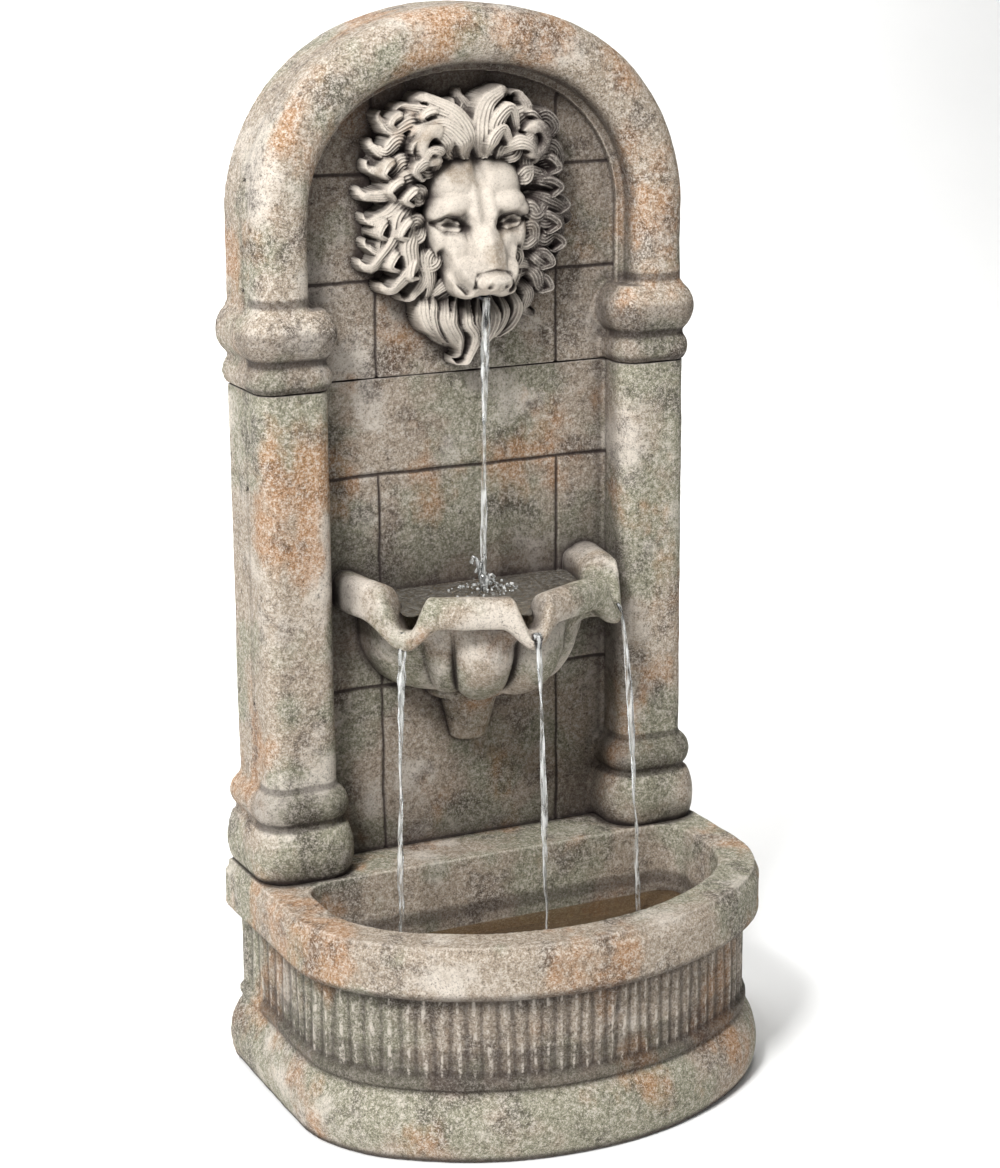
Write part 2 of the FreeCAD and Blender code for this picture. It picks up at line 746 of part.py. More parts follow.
def face(s):
    """Skull, cheeks, brow, nose bridge, muzzle, chin and ears, each carved forward from the panel."""
    plane = panel_plane(s)
    wide = s.face_width
    tall = s.head_height
    middle = mane_centre(s)
    eyes = jet_height(s) + s.eye_rise
    nose = jet_height(s) + s.nose_rise
    front = plane - s.nose_proud
    brow = plane - s.brow_proud
    skull = carved([
        (wide * 1.2, tall, 0, plane + 1, middle - 8),
        (wide * 1.15, tall * 0.96, 0, plane - 20, middle - 4),
        (wide * 0.96, tall * 0.8, 0, plane - 38, middle + 4),
        (wide * 0.66, tall * 0.52, 0, brow, middle + 18),
        (wide * 0.3, tall * 0.25, 0, brow - 4, middle + 20),
    ])
    cheek = carved([
        (wide * 0.44, tall * 0.39, wide * 0.3, plane - 10, nose + 8),
        (wide * 0.38, tall * 0.34, wide * 0.28, plane - 42, nose + 8),
        (wide * 0.17, tall * 0.16, wide * 0.24, plane - 52, nose + 8),
    ])
    ridge = carved([
        (wide * 0.46, tall * 0.15, wide * 0.25, plane - 24, eyes + 16),
        (wide * 0.4, tall * 0.11, wide * 0.23, brow - 2, eyes + 19),
        (wide * 0.2, tall * 0.05, wide * 0.2, brow - 8, eyes + 20),
    ])
    long = s.bridge_length
    bridge = carved([
        (wide * 0.33, long, 0, plane - 30, nose + 38),
        (wide * 0.26, long * 0.91, 0, brow - 5, nose + 34),
        (wide * 0.19, long * 0.67, 0, front + 10, nose + 24),
    ])
    lips = s.muzzle_height
    muzzle = carved([
        (s.muzzle_width, lips, 0, plane - 16, nose - 6),
        (s.muzzle_width, lips * 0.9, 0, plane - 42, nose - 6),
        (s.muzzle_width * 0.86, lips * 0.72, 0, front + 10, nose - 5),
        (s.muzzle_width * 0.5, lips * 0.41, 0, front + 1, nose - 2),
    ])
    tip = carved([
        (s.muzzle_width * 0.42, lips * 0.41, 0, front + 16, nose + 9),
        (s.muzzle_width * 0.4, lips * 0.34, 0, front + 2, nose + 10),
        (s.muzzle_width * 0.22, lips * 0.17, 0, front - 2, nose + 12),
    ])
    chin = carved([
        (s.muzzle_width * 0.65, lips * 0.83, 0, plane - 12, jet_height(s) - 14),
        (s.muzzle_width * 0.57, lips * 0.69, 0, plane - 38, jet_height(s) - 10),
        (s.muzzle_width * 0.32, lips * 0.38, 0, plane - 52, jet_height(s) - 6),
    ])
    broad = s.ear_width
    ear = carved([
        (broad, broad * 0.91, wide * 0.56, plane - 6, hairline(s) + 2),
        (broad * 0.83, broad * 0.78, wide * 0.56, plane - 30, hairline(s) + 6),
        (broad * 0.48, broad * 0.43, wide * 0.55, plane - 36, hairline(s) + 6),
    ])
    return [skull, bridge, muzzle, tip, chin] + both_sides(cheek) + both_sides(ridge) + both_sides(ear)


def lion_mask(doc, s):
    """The mask with its sunk eyes and ears, its mouth and the bore for the jet tube."""
    plane = panel_plane(s)
    body = fused(face(s) + mane(s))
    body = body.cut(box(-s.rim_width, s.rim_width, plane, plane + s.overall_depth, 0, s.overall_height))
    wide = s.face_width
    eyes = jet_height(s) + s.eye_rise
    brow = plane - s.brow_proud
    socket = carved([(wide * 0.25, wide * 0.16, wide * 0.29, brow - 8, eyes - 1),
                     (wide * 0.17, wide * 0.11, wide * 0.27, brow + 12, eyes - 1)])
    ear = s.ear_width
    hollow_ear = carved([(ear * 0.52, ear * 0.48, wide * 0.58, plane - 38, hairline(s) + 7),
                         (ear * 0.26, ear * 0.24, wide * 0.56, plane - 20, hairline(s) + 5)])
    tall = s.head_height
    furrow = carved([(wide * 0.07, tall * 0.44, 0, brow - 10, eyes + 36),
                     (wide * 0.03, tall * 0.38, 0, brow + 3, eyes + 34)])
    lips = s.muzzle_height
    mouth = carved([(s.muzzle_width * 0.6, lips * 0.21, 0, plane - s.overall_depth, jet_height(s)),
                    (s.muzzle_width * 0.42, lips * 0.24, 0, plane - s.nozzle_length - 4, jet_height(s))])
    hose = s.hose_outer + 5
    depth = s.hose_outer * 3
    recess = box(-hose, hose, plane - depth, plane + 1, jet_height(s) - hose, jet_height(s) + hose)
    bore = rod(s.hose_bore + s.fit_gap, Vector(0, plane, jet_height(s)), -Y, s.nozzle_length + s.hose_bend)
    studs = [rod(s.stud_radius, Vector(x, plane + 1, z), -Y, s.stud_root + 1) for x, z in mask_studs(s)]
    cuts = [furrow, mouth, recess, bore] + studs
    for hole in (socket, hollow_ear):
        cuts += both_sides(hole)
    body = body.cut(cuts)
    biggest = max(body.Solids, key=lambda solid: solid.Volume)
    return feature(doc, "lion_mask", biggest)


# Scalloped bowl

def bowl_section(s, turn, share):
    """Section of the bowl's wall at an angle round the bowl; share runs from spout to spout."""
    lift = math.sin(math.pi * share) ** 0.6
    lobe = s.lobe_depth * math.sin(math.pi * share) ** 2
    spout = s.spout_level - s.bowl_base
    rim = spout + (s.petal_level - s.spout_level) * lift
    roll = (rim - spout) * 0.5
    out = s.bowl_radius
    wall = s.bowl_wall
    squeeze = (column_inner(s) - 3) / out
    outside = [
        (s.bowl_foot - wall / 2, 0), (out * 0.6 + lobe, spout * 0.13), (out * 0.82 + lobe, spout * 0.4),
        (out * 0.9 + lobe * 0.5, spout * 0.72), (out * 0.92 + lift * 2, rim - roll - 8),
        (out, rim - roll), (out - 2 - lift * 3, rim - roll * 0.35), (out - 6 - lift * 6, rim),
    ]
    inside = [
        (out - 6 - lift * 6, rim), (out - 11 - lift * 8, rim - 4), (out * 0.9 - wall, spout * 0.72),
        (out * 0.8 - wall, spout * 0.4 + 2), (out * 0.56 - wall, spout * 0.13 + wall),
        (s.bowl_foot - wall / 2, wall),
    ]
    edges = []
    for run in (outside, inside):
        points = [Vector(radius * squeeze * math.cos(turn), panel_plane(s) - radius * math.sin(turn),
                         s.bowl_base + height)
                  for radius, height in run]
        curve = Part.BSplineCurve()
        curve.interpolate(points)
        edges.append(curve.toShape())
    ends = [edges[1].Vertexes[-1].Point, edges[0].Vertexes[0].Point]
    edges.append(Part.LineSegment(*ends).toShape())
    return Part.Wire(edges)


def bowl_wall(s):
    """One loft to a petal, from spout to spout; the outer two run on to the panel."""
    count = int(s.petals)
    steps = int(s.petal_sections)
    wedge = math.pi / count
    solids = []
    for k in range(count):
        wires = []
        for step in range(steps + 1):
            share = step / steps
            flat = k == 0 and share < 0.5 or k == count - 1 and share > 0.5
            wires.append(bowl_section(s, wedge * (k + share), 0.5 if flat else share))
        solids.append(Part.makeLoft(wires, True, False))
    return solids


def scallop_bowl(doc, s):
    """Half-round bowl on the panel, with rolled petals and a spout between neighbours."""
    plane = panel_plane(s)
    centre = Vector(0, plane, s.bowl_base)
    low = s.fit_gap
    high = s.bowl_wall - s.fit_gap
    floor = turned([(0, low), (s.bowl_foot, low), (s.bowl_foot, high), (0, high)], centre)
    front = box(-s.rim_width, s.rim_width, plane - s.overall_depth, plane, 0, s.overall_height)
    floor = floor.common(front)
    level = s.spout_level + 6 - s.bowl_base
    belly = s.bowl_radius * 0.72
    edge = s.bowl_radius * 0.88
    back = profile_face([(-s.bowl_foot, 0), (s.bowl_foot, 0), (belly, level * 0.3, edge, level),
                         (-edge, level), (-belly, level * 0.3, -s.bowl_foot, 0)])
    back.translate(centre)
    back = back.extrude(-Y * s.bowl_back)
    body = fused(bowl_wall(s) + [floor, back])
    body = body.common(front)
    studs = [rod(s.stud_radius, Vector(x, plane + 1, z), -Y, s.stud_root + 1) for x, z in bowl_studs(s)]
    body = body.cut(studs)
    return feature(doc, "scallop_bowl", body)


def bowl_bracket(doc, s):
    """Corbel under the bowl: collar, taper and rounded foot."""
    plane = panel_plane(s)
    tall = s.bracket_height
    neck = tall - s.bracket_collar
    wide = s.bowl_foot - 3
    solid = turned([
        (0, 0), (s.bracket_tip - 7, 0), (s.bracket_tip - 2, 2, s.bracket_tip, 8),
        (s.bracket_neck, neck - 2), (wide - 6, neck),
        (wide, neck + s.bracket_collar * 0.4, wide - 1, tall - 2),
        (wide - 3, tall), (0, tall),
    ], Vector(0, plane, s.bowl_base - tall))
    front = box(-s.rim_width, s.rim_width, plane - s.overall_depth, plane, 0, s.overall_height)
    studs = [rod(s.stud_radius, Vector(x, plane + 1, z), -Y, s.stud_root + 1) for x, z in bowl_studs(s)]
    return feature(doc, "bowl_bracket", solid.common(front).cut(studs))


# Water path

def hose_runs(s):
    """Axis of the riser hose: straight up from the pump, then over to the jet."""
    start = Vector(0, hose_plane(s), outlet_top(s) + 2)
    rise = jet_height(s) - s.hose_bend - start.z
    return walk(start, Y, X, [(rise,), (s.hose_bend, 90), (s.barb_length / 2,)])


def riser_hose(doc, s):
    """One hose from the pump's barb to the jet tube's tail."""
    outer = Part.Face(Part.Wire([Part.makeCircle(s.hose_outer, ORIGIN, Y)]))
    inner = Part.Face(Part.Wire([Part.makeCircle(s.hose_bore, ORIGIN, Y)]))
    wall = outer.cut(inner).Faces[0]
    return feature(doc, "riser_hose", fused(swept(wall, hose_runs(s), X)))


def hose_end(s):
    """Where the hose stops behind the lion's mouth, on the panel's side."""
    return hose_plane(s) - s.hose_bend - s.barb_length / 2


def hose_clamps(doc, s):
    """A band with a screw housing at each end of the hose."""
    inner = s.hose_outer
    band = ring(inner + s.clamp_thick, inner, ORIGIN, Z, s.clamp_width)
    housing = box(inner + s.clamp_thick / 2, inner + s.clamp_thick + 3, -3, 3, 1, s.clamp_width - 1)
    housing = housing.cut(rod(inner + s.clamp_thick / 2, ORIGIN, Z, s.clamp_width))
    clamp = fused([band, housing])
    low = clamp.copy()
    low.translate(Vector(0, hose_plane(s), outlet_top(s) + s.barb_length / 2))
    high = clamp.copy()
    high.rotate(ORIGIN, X, 90)
    high.rotate(ORIGIN, Y, -90)
    high.translate(Vector(0, hose_end(s) + s.clamp_width + 1, jet_height(s)))
    return feature(doc, "hose_clamps", Part.makeCompound([low, high]))


# Parametric bodies

def plane_of(body, role):
    return next(item for item in body.Origin.OriginFeatures if item.Role == role)


def new_body(doc, label):
    body = doc.addObject("PartDesign::Body", label)
    body.Label = label
    return body


def new_sketch(body, role, name):
    sketch = body.newObject("Sketcher::SketchObject", name)
    sketch.AttachmentSupport = (plane_of(body, role), [""])
    sketch.MapMode = "FlatFace"
    return sketch


def constrain(sketch, kind, where, value):
    """Add a dimension and bind it to an expression on the sheet."""
    index = sketch.addConstraint(Sketcher.Constraint(kind, *where, 1.0))
    sketch.setExpression("Constraints[%d]" % index, value)


def add_outline(sketch, points):
    """Closed outline of straight lines, each corner bound to two expressions."""
    count = len(points)
    first = sketch.GeometryCount
    spots = [Vector(math.cos(2 * math.pi * k / count), math.sin(2 * math.pi * k / count), 0) * 20
             for k in range(count)]
    for k in range(count):
        sketch.addGeometry(Part.LineSegment(spots[k], spots[(k + 1) % count]))
    for k in range(count):
        follow = first + (k + 1) % count
        sketch.addConstraint(Sketcher.Constraint("Coincident", first + k, 2, follow, 1))
    for k, (across, up) in enumerate(points):
        if across == "0":
            sketch.addConstraint(Sketcher.Constraint("PointOnObject", first + k, 1, -2))
        else:
            constrain(sketch, "DistanceX", (-1, 1, first + k, 1), across)
        if up == "0":
            sketch.addConstraint(Sketcher.Constraint("PointOnObject", first + k, 1, -1))
        else:
            constrain(sketch, "DistanceY", (-1, 1, first + k, 1), up)


def add_box(sketch, left, right, low, high):
    add_outline(sketch, [(left, low), (right, low), (right, high), (left, high)])


def add_circle(sketch, radius, across="0", up="0"):
    index = sketch.addGeometry(Part.Circle(Vector(3, 3, 0), Z, 2))
    constrain(sketch, "Radius", (index,), radius)
    if across == "0":
        sketch.addConstraint(Sketcher.Constraint("PointOnObject", index, 3, -2))
    else:
        constrain(sketch, "DistanceX", (-1, 1, index, 3), across)
    if up == "0":
        sketch.addConstraint(Sketcher.Constraint("PointOnObject", index, 3, -1))
    else:
        constrain(sketch, "DistanceY", (-1, 1, index, 3), up)


def add_pad(body, sketch, length, name="pad"):
    pad = body.newObject("PartDesign::Pad", name)
    pad.Profile = sketch
    pad.setExpression("Length", length)
    return pad


def add_pocket(body, sketch, length, name="pocket"):
    """Pocket towards the sketch's front."""
    pocket = body.newObject("PartDesign::Pocket", name)
    pocket.Profile = sketch
    pocket.Reversed = True
    pocket.setExpression("Length", length)
    return pocket


def add_turn(body, sketch):
    """Full turn of a profile about the sketch's upright axis."""
    turn = body.newObject("PartDesign::Revolution", "turn")
    turn.Profile = sketch
    turn.ReferenceAxis = (sketch, ["V_Axis"])
    turn.Angle = 360
    return turn


def turned_body(doc, label, points):
    """Body of revolution about its own Z axis."""
    body = new_body(doc, label)
    sketch = new_sketch(body, "XZ_Plane", label + "_profile")
    add_outline(sketch, points)
    add_turn(body, sketch)
    return body


def place(made, rotation, **where):
    """Turn a sub-part and bind its place to expressions."""
    made.Placement = Placement(ORIGIN, rotation)
    for axis, value in where.items():
        made.setExpression("Placement.Base." + axis, value)


UPRIGHT = Rotation()
ALONG_X = Rotation(Y, 90)
TO_VIEWER = Rotation(X, 90)
TO_WALL = Rotation(X, -90)
WALL = "sizes.overall_depth / 2"
SEAM = "(sizes.overall_height - sizes.arch_rise)"
JET = "(sizes.overall_height - sizes.jet_drop)"
PUMP_Y = WALL + " - sizes.pump_setback"
HOSE_Y = "(2 * " + WALL + " - sizes.panel_depth + sizes.casting_wall - sizes.back_wall) / 2"
PUMP_Z = "sizes.pool_floor + sizes.pump_lift + sizes.pump_height / 2"


def jet_nozzle(doc, s):
    """Tube in the lion's mouth, with a barbed tail for the hose."""
    tail = "sizes.barb_length / 2 - 1"
    body = turned_body(doc, "jet_nozzle", [
        ("sizes.nozzle_bore", "0"), ("sizes.hose_bore - 0.6", "0"),
        ("sizes.hose_bore - 0.1", "2"), ("sizes.hose_bore - 0.1", tail),
        ("sizes.hose_outer", tail), ("sizes.hose_outer", tail + " + 2"),
        ("sizes.hose_bore", tail + " + 2"), ("sizes.hose_bore", "sizes.nozzle_length - 1"),
        ("sizes.hose_bore - 1", "sizes.nozzle_length"), ("sizes.nozzle_bore", "sizes.nozzle_length"),
    ])
    place(body, TO_VIEWER, y=HOSE_Y + " - sizes.hose_bend - 1", z=JET)


def drain_plug(doc, s):
    """Rubber stopper in the pool's floor."""
    body = turned_body(doc, "drain_plug", [
        ("0", "-sizes.floor_thick + 2"), ("sizes.drain_radius - 1.5", "-sizes.floor_thick + 2"),
        ("sizes.drain_radius", "0"), ("sizes.plug_flange", "0"), ("sizes.plug_flange", "3"),
        ("4", "4"), ("3", "12"), ("6", "15"), ("4", "18"), ("0", "18"),
    ])
    place(body, UPRIGHT, x="sizes.drain_x", y="sizes.drain_y", z="sizes.pool_floor")


def cable_grommet(doc, s):
    """Rubber grommet in the back, where the pump's lead leaves."""
    body = turned_body(doc, "cable_grommet", [
        ("sizes.grommet_bore", "-2"), ("sizes.grommet_radius + 3", "-2"), ("sizes.grommet_radius + 3", "0"),
        ("sizes.grommet_radius", "0"), ("sizes.grommet_radius", "sizes.back_wall"),
        ("sizes.grommet_bore", "sizes.back_wall"),
    ])
    place(body, TO_WALL, x="sizes.grommet_x", y=WALL + " - sizes.back_wall", z="sizes.grommet_height")


def access_door(doc, s):
    """Plate closing the opening behind the pump, with a stiffening rim inside."""
    body = new_body(doc, "access_door")
    half = "sizes.door_width / 2"
    plate = new_sketch(body, "XZ_Plane", "door_plate")
    add_box(plate, "-" + half, half, "0", "sizes.door_height")
    add_pad(body, plate, "sizes.door_thick")
    rim = new_sketch(body, "XZ_Plane", "door_rim")
    for edge in (1, 4):
        reach = "sizes.door_ledge + %d" % edge
        add_box(rim, "-" + half + " + " + reach, half + " - (" + reach + ")", reach,
                "sizes.door_height - (" + reach + ")")
    add_pad(body, rim, "sizes.door_thick + 5", "rim")
    doc.recompute()
    heads = new_sketch(body, "XZ_Plane", "door_heads")
    shanks = new_sketch(body, "XZ_Plane", "door_shanks")
    across = half + " - sizes.door_ledge / 2"
    for side in ("-(" + across + ")", across):
        add_circle(heads, "sizes.coin_head + 0.3", side, "sizes.door_height / 2")
        add_circle(shanks, "sizes.coin_shank + sizes.running_gap", side, "sizes.door_height / 2")
    add_pocket(body, heads, "sizes.coin_thick + 0.5", "head_seats")
    shank = body.newObject("PartDesign::Pocket", "shank_holes")
    shank.Profile = shanks
    shank.Type = 1
    shank.Midplane = True
    place(body, UPRIGHT, y=WALL, z="sizes.door_sill")


def intake_grille(doc, s):
    """Slotted screen that closes the passage between pool and pump chamber."""
    body = new_body(doc, "intake_grille")
    half = "(sizes.slot_width / 2 - sizes.fit_gap)"
    top = "sizes.slot_height - sizes.fit_gap"
    plate = new_sketch(body, "XZ_Plane", "grille_plate")
    add_box(plate, "-" + half, half, "sizes.fit_gap", top)
    add_pad(body, plate, "sizes.grille_thick")
    opening = new_sketch(body, "XZ_Plane", "grille_opening")
    add_box(opening, "-" + half + " + 6", "-" + half + " + 6 + sizes.grille_slot", "6", top + " - 6")
    pocket = add_pocket(body, opening, "sizes.grille_thick")
    row = body.newObject("PartDesign::LinearPattern", "grille_row")
    row.Originals = [pocket]
    row.Direction = (opening, ["H_Axis"])
    row.setExpression("Length", "2 * " + half + " - 12 - sizes.grille_slot")
    row.setExpression("Occurrences", "sizes.grille_slots")
    body.Tip = row
    place(body, UPRIGHT, y=WALL + " - sizes.deck_depth + sizes.chamber_wall", z="sizes.pool_floor")


def door_fasteners(doc, s):
    """Two coin-slot fasteners, sunk in the door's plate."""
    across = "(sizes.door_width - sizes.door_ledge) / 2"
    for label, side in (("left_fastener", "-"), ("right_fastener", "")):
        body = turned_body(doc, label, [
            ("0", "0"), ("sizes.coin_head", "0"), ("sizes.coin_head", "sizes.coin_thick"),
            ("sizes.coin_shank", "sizes.coin_thick"), ("sizes.coin_shank", "sizes.back_wall + 2"),
            ("0", "sizes.back_wall + 2"),
        ])
        slot = new_sketch(body, "XY_Plane", label + "_slot")
        add_box(slot, "-sizes.coin_head", "sizes.coin_head", "-0.9", "0.9")
        add_pocket(body, slot, "1.4")
        place(body, TO_VIEWER, x=side + across, y=WALL + " - 0.2",
              z="sizes.door_sill + sizes.door_height / 2")


def door_seal(doc, s):
    """Foam frame between the door's plate and the ledge."""
    body = new_body(doc, "door_seal")
    half = "sizes.door_width / 2"
    frame = new_sketch(body, "XZ_Plane", "seal_frame")
    add_box(frame, "-" + half + " + 1", half + " - 1", "1", "sizes.door_height - 1")
    inner = "sizes.door_ledge - 2.5"
    add_box(frame, "-" + half + " + " + inner, half + " - (" + inner + ")", inner,
            "sizes.door_height - (" + inner + ")")
    add_pad(body, frame, "sizes.seal_thick - 0.2")
    doc.recompute()
    holes = new_sketch(body, "XZ_Plane", "seal_holes")
    for side in ("-", ""):
        add_circle(holes, "sizes.coin_shank + 0.5", side + "(sizes.door_width - sizes.door_ledge) / 2",
                   "sizes.door_height / 2")
    add_pocket(body, holes, "sizes.seal_thick")
    place(body, UPRIGHT, y=WALL + " - sizes.door_thick - 0.1", z="sizes.door_sill")


# Fastenings

def cylinder(doc, name, radius, height, rotation, **where):
    """Cylinder whose sizes and place are bound to expressions."""
    made = doc.addObject("Part::Cylinder", name)
    made.setExpression("Radius", radius)
    made.setExpression("Height", height)
    place(made, rotation, **where)
    return made


def less(doc, name, base, tool):
    made = doc.addObject("Part::Cut", name)
    made.Base = base
    made.Tool = tool
    return made


def group(doc, label, items):
    """Keep several solids as one named sub-part."""
    made = doc.addObject("Part::Compound", label)
    made.Label = label
    made.Links = items
    return made


PANEL_INSIDE = WALL + " - sizes.panel_depth + sizes.casting_wall"
SIDES = ("-", "")


def stud_spots(kind):
    """Expressions for the studs' places: two in the mask, two in the bowl, two in the corbel."""
    if kind == "mask":
        level = JET + " + 2 * sizes.hose_bend"
        return [(side + "sizes.face_width / 2", level) for side in SIDES]
    high = "(sizes.bowl_base + sizes.petal_level) / 2"
    low = "sizes.bowl_base - sizes.bracket_collar - 2"
    return ([(side + "sizes.bowl_foot", high) for side in SIDES]
            + [(side + "sizes.bowl_foot / 2", low) for side in SIDES])


def studs(doc, s):
    """Studs moulded into the mask, the bowl and the corbel, through the panels' walls."""
    start = WALL + " - sizes.panel_depth - sizes.stud_root"
    reach = "sizes.stud_root + sizes.casting_wall + sizes.stud_reach"
    for kind in ("mask", "bowl"):
        made = [cylinder(doc, "%s_stud_%d" % (kind, k), "sizes.stud_radius", reach, TO_WALL,
                         x=x, y=start, z=z)
                for k, (x, z) in enumerate(stud_spots(kind), 1)]
        group(doc, kind + "_studs", made)


def washers(doc, s):
    """A washer on each stud, inside the hollow sections."""
    made = []
    for k, (x, z) in enumerate(stud_spots("mask") + stud_spots("bowl"), 1):
        disc = cylinder(doc, "disc_%d" % k, "sizes.washer_radius", "sizes.washer_thick", TO_WALL,
                        x=x, y=PANEL_INSIDE, z=z)
        hole = cylinder(doc, "disc_hole_%d" % k, "sizes.stud_radius + sizes.fit_gap", "sizes.washer_thick",
                        TO_WALL, x=x, y=PANEL_INSIDE, z=z)
        made.append(less(doc, "washer_%d" % k, disc, hole))
    group(doc, "stud_washers", made)


def nuts(doc, s):
    """A hexagon nut against each washer."""
    made = []
    seat = PANEL_INSIDE + " + sizes.washer_thick"
    for k, (x, z) in enumerate(stud_spots("mask") + stud_spots("bowl"), 1):
        block = doc.addObject("Part::Prism", "nut_block_%d" % k)
        block.Polygon = 6
        block.setExpression("Circumradius", "sizes.nut_flats / sqrt(3)")
        block.setExpression("Height", "sizes.nut_thick")
        place(block, TO_WALL, x=x, y=seat, z=z)
        hole = cylinder(doc, "nut_hole_%d" % k, "sizes.stud_radius", "sizes.nut_thick", TO_WALL,
                        x=x, y=seat, z=z)
        made.append(less(doc, "nut_%d" % k, block, hole))
    group(doc, "stud_nuts", made)


def dowels(doc, s):
    """Locating dowels in the seam and on the deck."""
    for label, level in (("seam_dowels", SEAM), ("deck_dowels", "sizes.basin_height")):
        made = [cylinder(doc, "%s_%d" % (label, k), "sizes.dowel_radius", "sizes.dowel_length - 2", UPRIGHT,
                         x=side + "(sizes.column_outer - sizes.column_width / 2)",
                         y=WALL + " - sizes.column_depth / 2", z=level + " - sizes.dowel_length / 2 + 1")
                for k, side in enumerate(SIDES, 1)]
        group(doc, label, made)


def wall_inserts(doc, s):
    """Brass inserts in the back, for the brackets that hold the top to a wall."""
    made = []
    for k, side in enumerate(SIDES, 1):
        spot = {"x": side + "sizes.insert_spread", "y": WALL + " - sizes.back_wall",
                "z": "sizes.overall_height - sizes.insert_drop"}
        tube = cylinder(doc, "insert_%d" % k, "sizes.insert_radius", "sizes.back_wall", TO_WALL, **spot)
        bore = cylinder(doc, "insert_bore_%d" % k, "sizes.insert_bore", "sizes.back_wall", TO_WALL, **spot)
        made.append(less(doc, "insert_ring_%d" % k, tube, bore))
    group(doc, "wall_inserts", made)


def joint_straps(doc, s):
    """Steel straps over the seam, flush with the back, each with two countersunk holes."""
    wall = wall_plane(s)
    half = s.strap_width / 2
    low = seam_height(s) - s.strap_height / 2
    high = seam_height(s) + s.strap_height / 2
    sinks = [Part.makeCone(s.screw_radius + s.fit_gap, s.screw_radius * 2 + s.fit_gap, s.strap_thick,
                           Vector(x, wall - s.strap_thick, z), Y) for x, z in strap_screw_places(s)]
    straps = [box(x - half, x + half, wall - s.strap_thick, wall, low, high) for x in strap_places(s)]
    feature(doc, "joint_straps", Part.makeCompound([strap.cut(sinks) for strap in straps]))


def strap_screws(doc, s):
    """Countersunk screws through the straps."""
    wall = wall_plane(s)
    solids = []
    for x, z in strap_screw_places(s):
        head = Part.makeCone(s.screw_radius, s.screw_radius * 2, s.strap_thick,
                             Vector(x, wall - s.strap_thick, z), Y)
        shank = rod(s.screw_radius, Vector(x, wall - s.strap_thick - screw_length(s), z), Y, screw_length(s))
        solids.append(head.fuse(shank))
    feature(doc, "strap_screws", Part.makeCompound(solids))


# Pump

def pump_body(doc, s):
    """Potted motor block, impeller chamber with its outlet at a tangent, and the rotor's well."""
    y = pump_middle(s)
    z = pump_axis(s)
    high = s.pump_height / 2
    half = s.pump_width / 2
    depth = s.volute_depth
    block = box(depth / 2 - EPS, depth / 2 + s.motor_length, y - half, y + half, z - high, z + high)
    long_edges = [edge for edge in block.Edges if edge.BoundBox.XLength > s.motor_length / 2]
    block = block.makeFillet(6, long_edges)
    drum = rod(s.volute_radius + s.volute_flange, Vector(-depth / 2, y, z), X, depth)
    behind = hose_plane(s)
    boss = rod(s.hose_outer, Vector(0, behind, z), Z, outlet_top(s) - z)
    body = fused([block, drum, boss])
    chamber = rod(s.volute_radius, Vector(-depth / 2 - 1, y, z), X, depth - 1)
    well = rod(s.rotor_radius + s.rotor_gap, Vector(-depth / 2, y, z), X, depth + s.rotor_length + 3)
    seat = rod(s.bush_radius + s.running_gap, Vector(depth / 2 + s.rotor_length, y, z), X, 3 + s.bush_length)
    outlet = rod(s.nozzle_bore + 1, Vector(0, behind, z), Z, s.pump_height * 2)
    spindle = rod(s.spindle_radius + s.running_gap, Vector(0, behind, knob_level(s)), -Y, s.pump_width)
    neck = s.gland_neck_length + 1
    lead = rod(s.gland_neck + s.running_gap, Vector(depth / 2 + s.motor_length - neck, y, z), X, neck + 1)
    body = body.cut([chamber, well, seat, outlet, spindle, lead])
    return feature(doc, "pump_body", body)


def knob_level(s):
    return outlet_top(s) - 6


PUMP_FRONT = "-sizes.volute_depth / 2"
AWAY_X = Rotation(Y, -90)


def rotor(doc, s):
    """Impeller with straight vanes, and the magnet that drives it."""
    body = turned_body(doc, "impeller", [
        ("sizes.shaft_radius + sizes.running_gap", "0"), ("4", "0"), ("4", "sizes.impeller_width"),
        ("sizes.impeller_radius", "sizes.impeller_width"),
        ("sizes.impeller_radius", "sizes.impeller_width + 1"),
        ("4.5", "sizes.impeller_width + 1"), ("4.5", "sizes.impeller_width + 3"),
        ("sizes.shaft_radius + sizes.running_gap", "sizes.impeller_width + 3"),
    ])
    vane = new_sketch(body, "XY_Plane", "vane")
    add_box(vane, "3.5", "sizes.impeller_radius", "-0.7", "0.7")
    pad = add_pad(body, vane, "sizes.impeller_width + 0.5", "vane_pad")
    turn = body.newObject("PartDesign::PolarPattern", "vane_ring")
    turn.Originals = [pad]
    turn.Axis = (vane, ["N_Axis"])
    turn.Angle = 360
    turn.setExpression("Occurrences", "sizes.vanes")
    body.Tip = turn
    place(body, ALONG_X, x=PUMP_FRONT + " + 1", y=PUMP_Y, z=PUMP_Z)
    magnet = turned_body(doc, "rotor_magnet", [
        ("sizes.shaft_radius + sizes.running_gap", "0"), ("sizes.rotor_radius", "0"),
        ("sizes.rotor_radius", "sizes.rotor_length"),
        ("sizes.shaft_radius + sizes.running_gap", "sizes.rotor_length"),
    ])
    place(magnet, ALONG_X, x=PUMP_FRONT + " + sizes.impeller_width + 4", y=PUMP_Y, z=PUMP_Z)


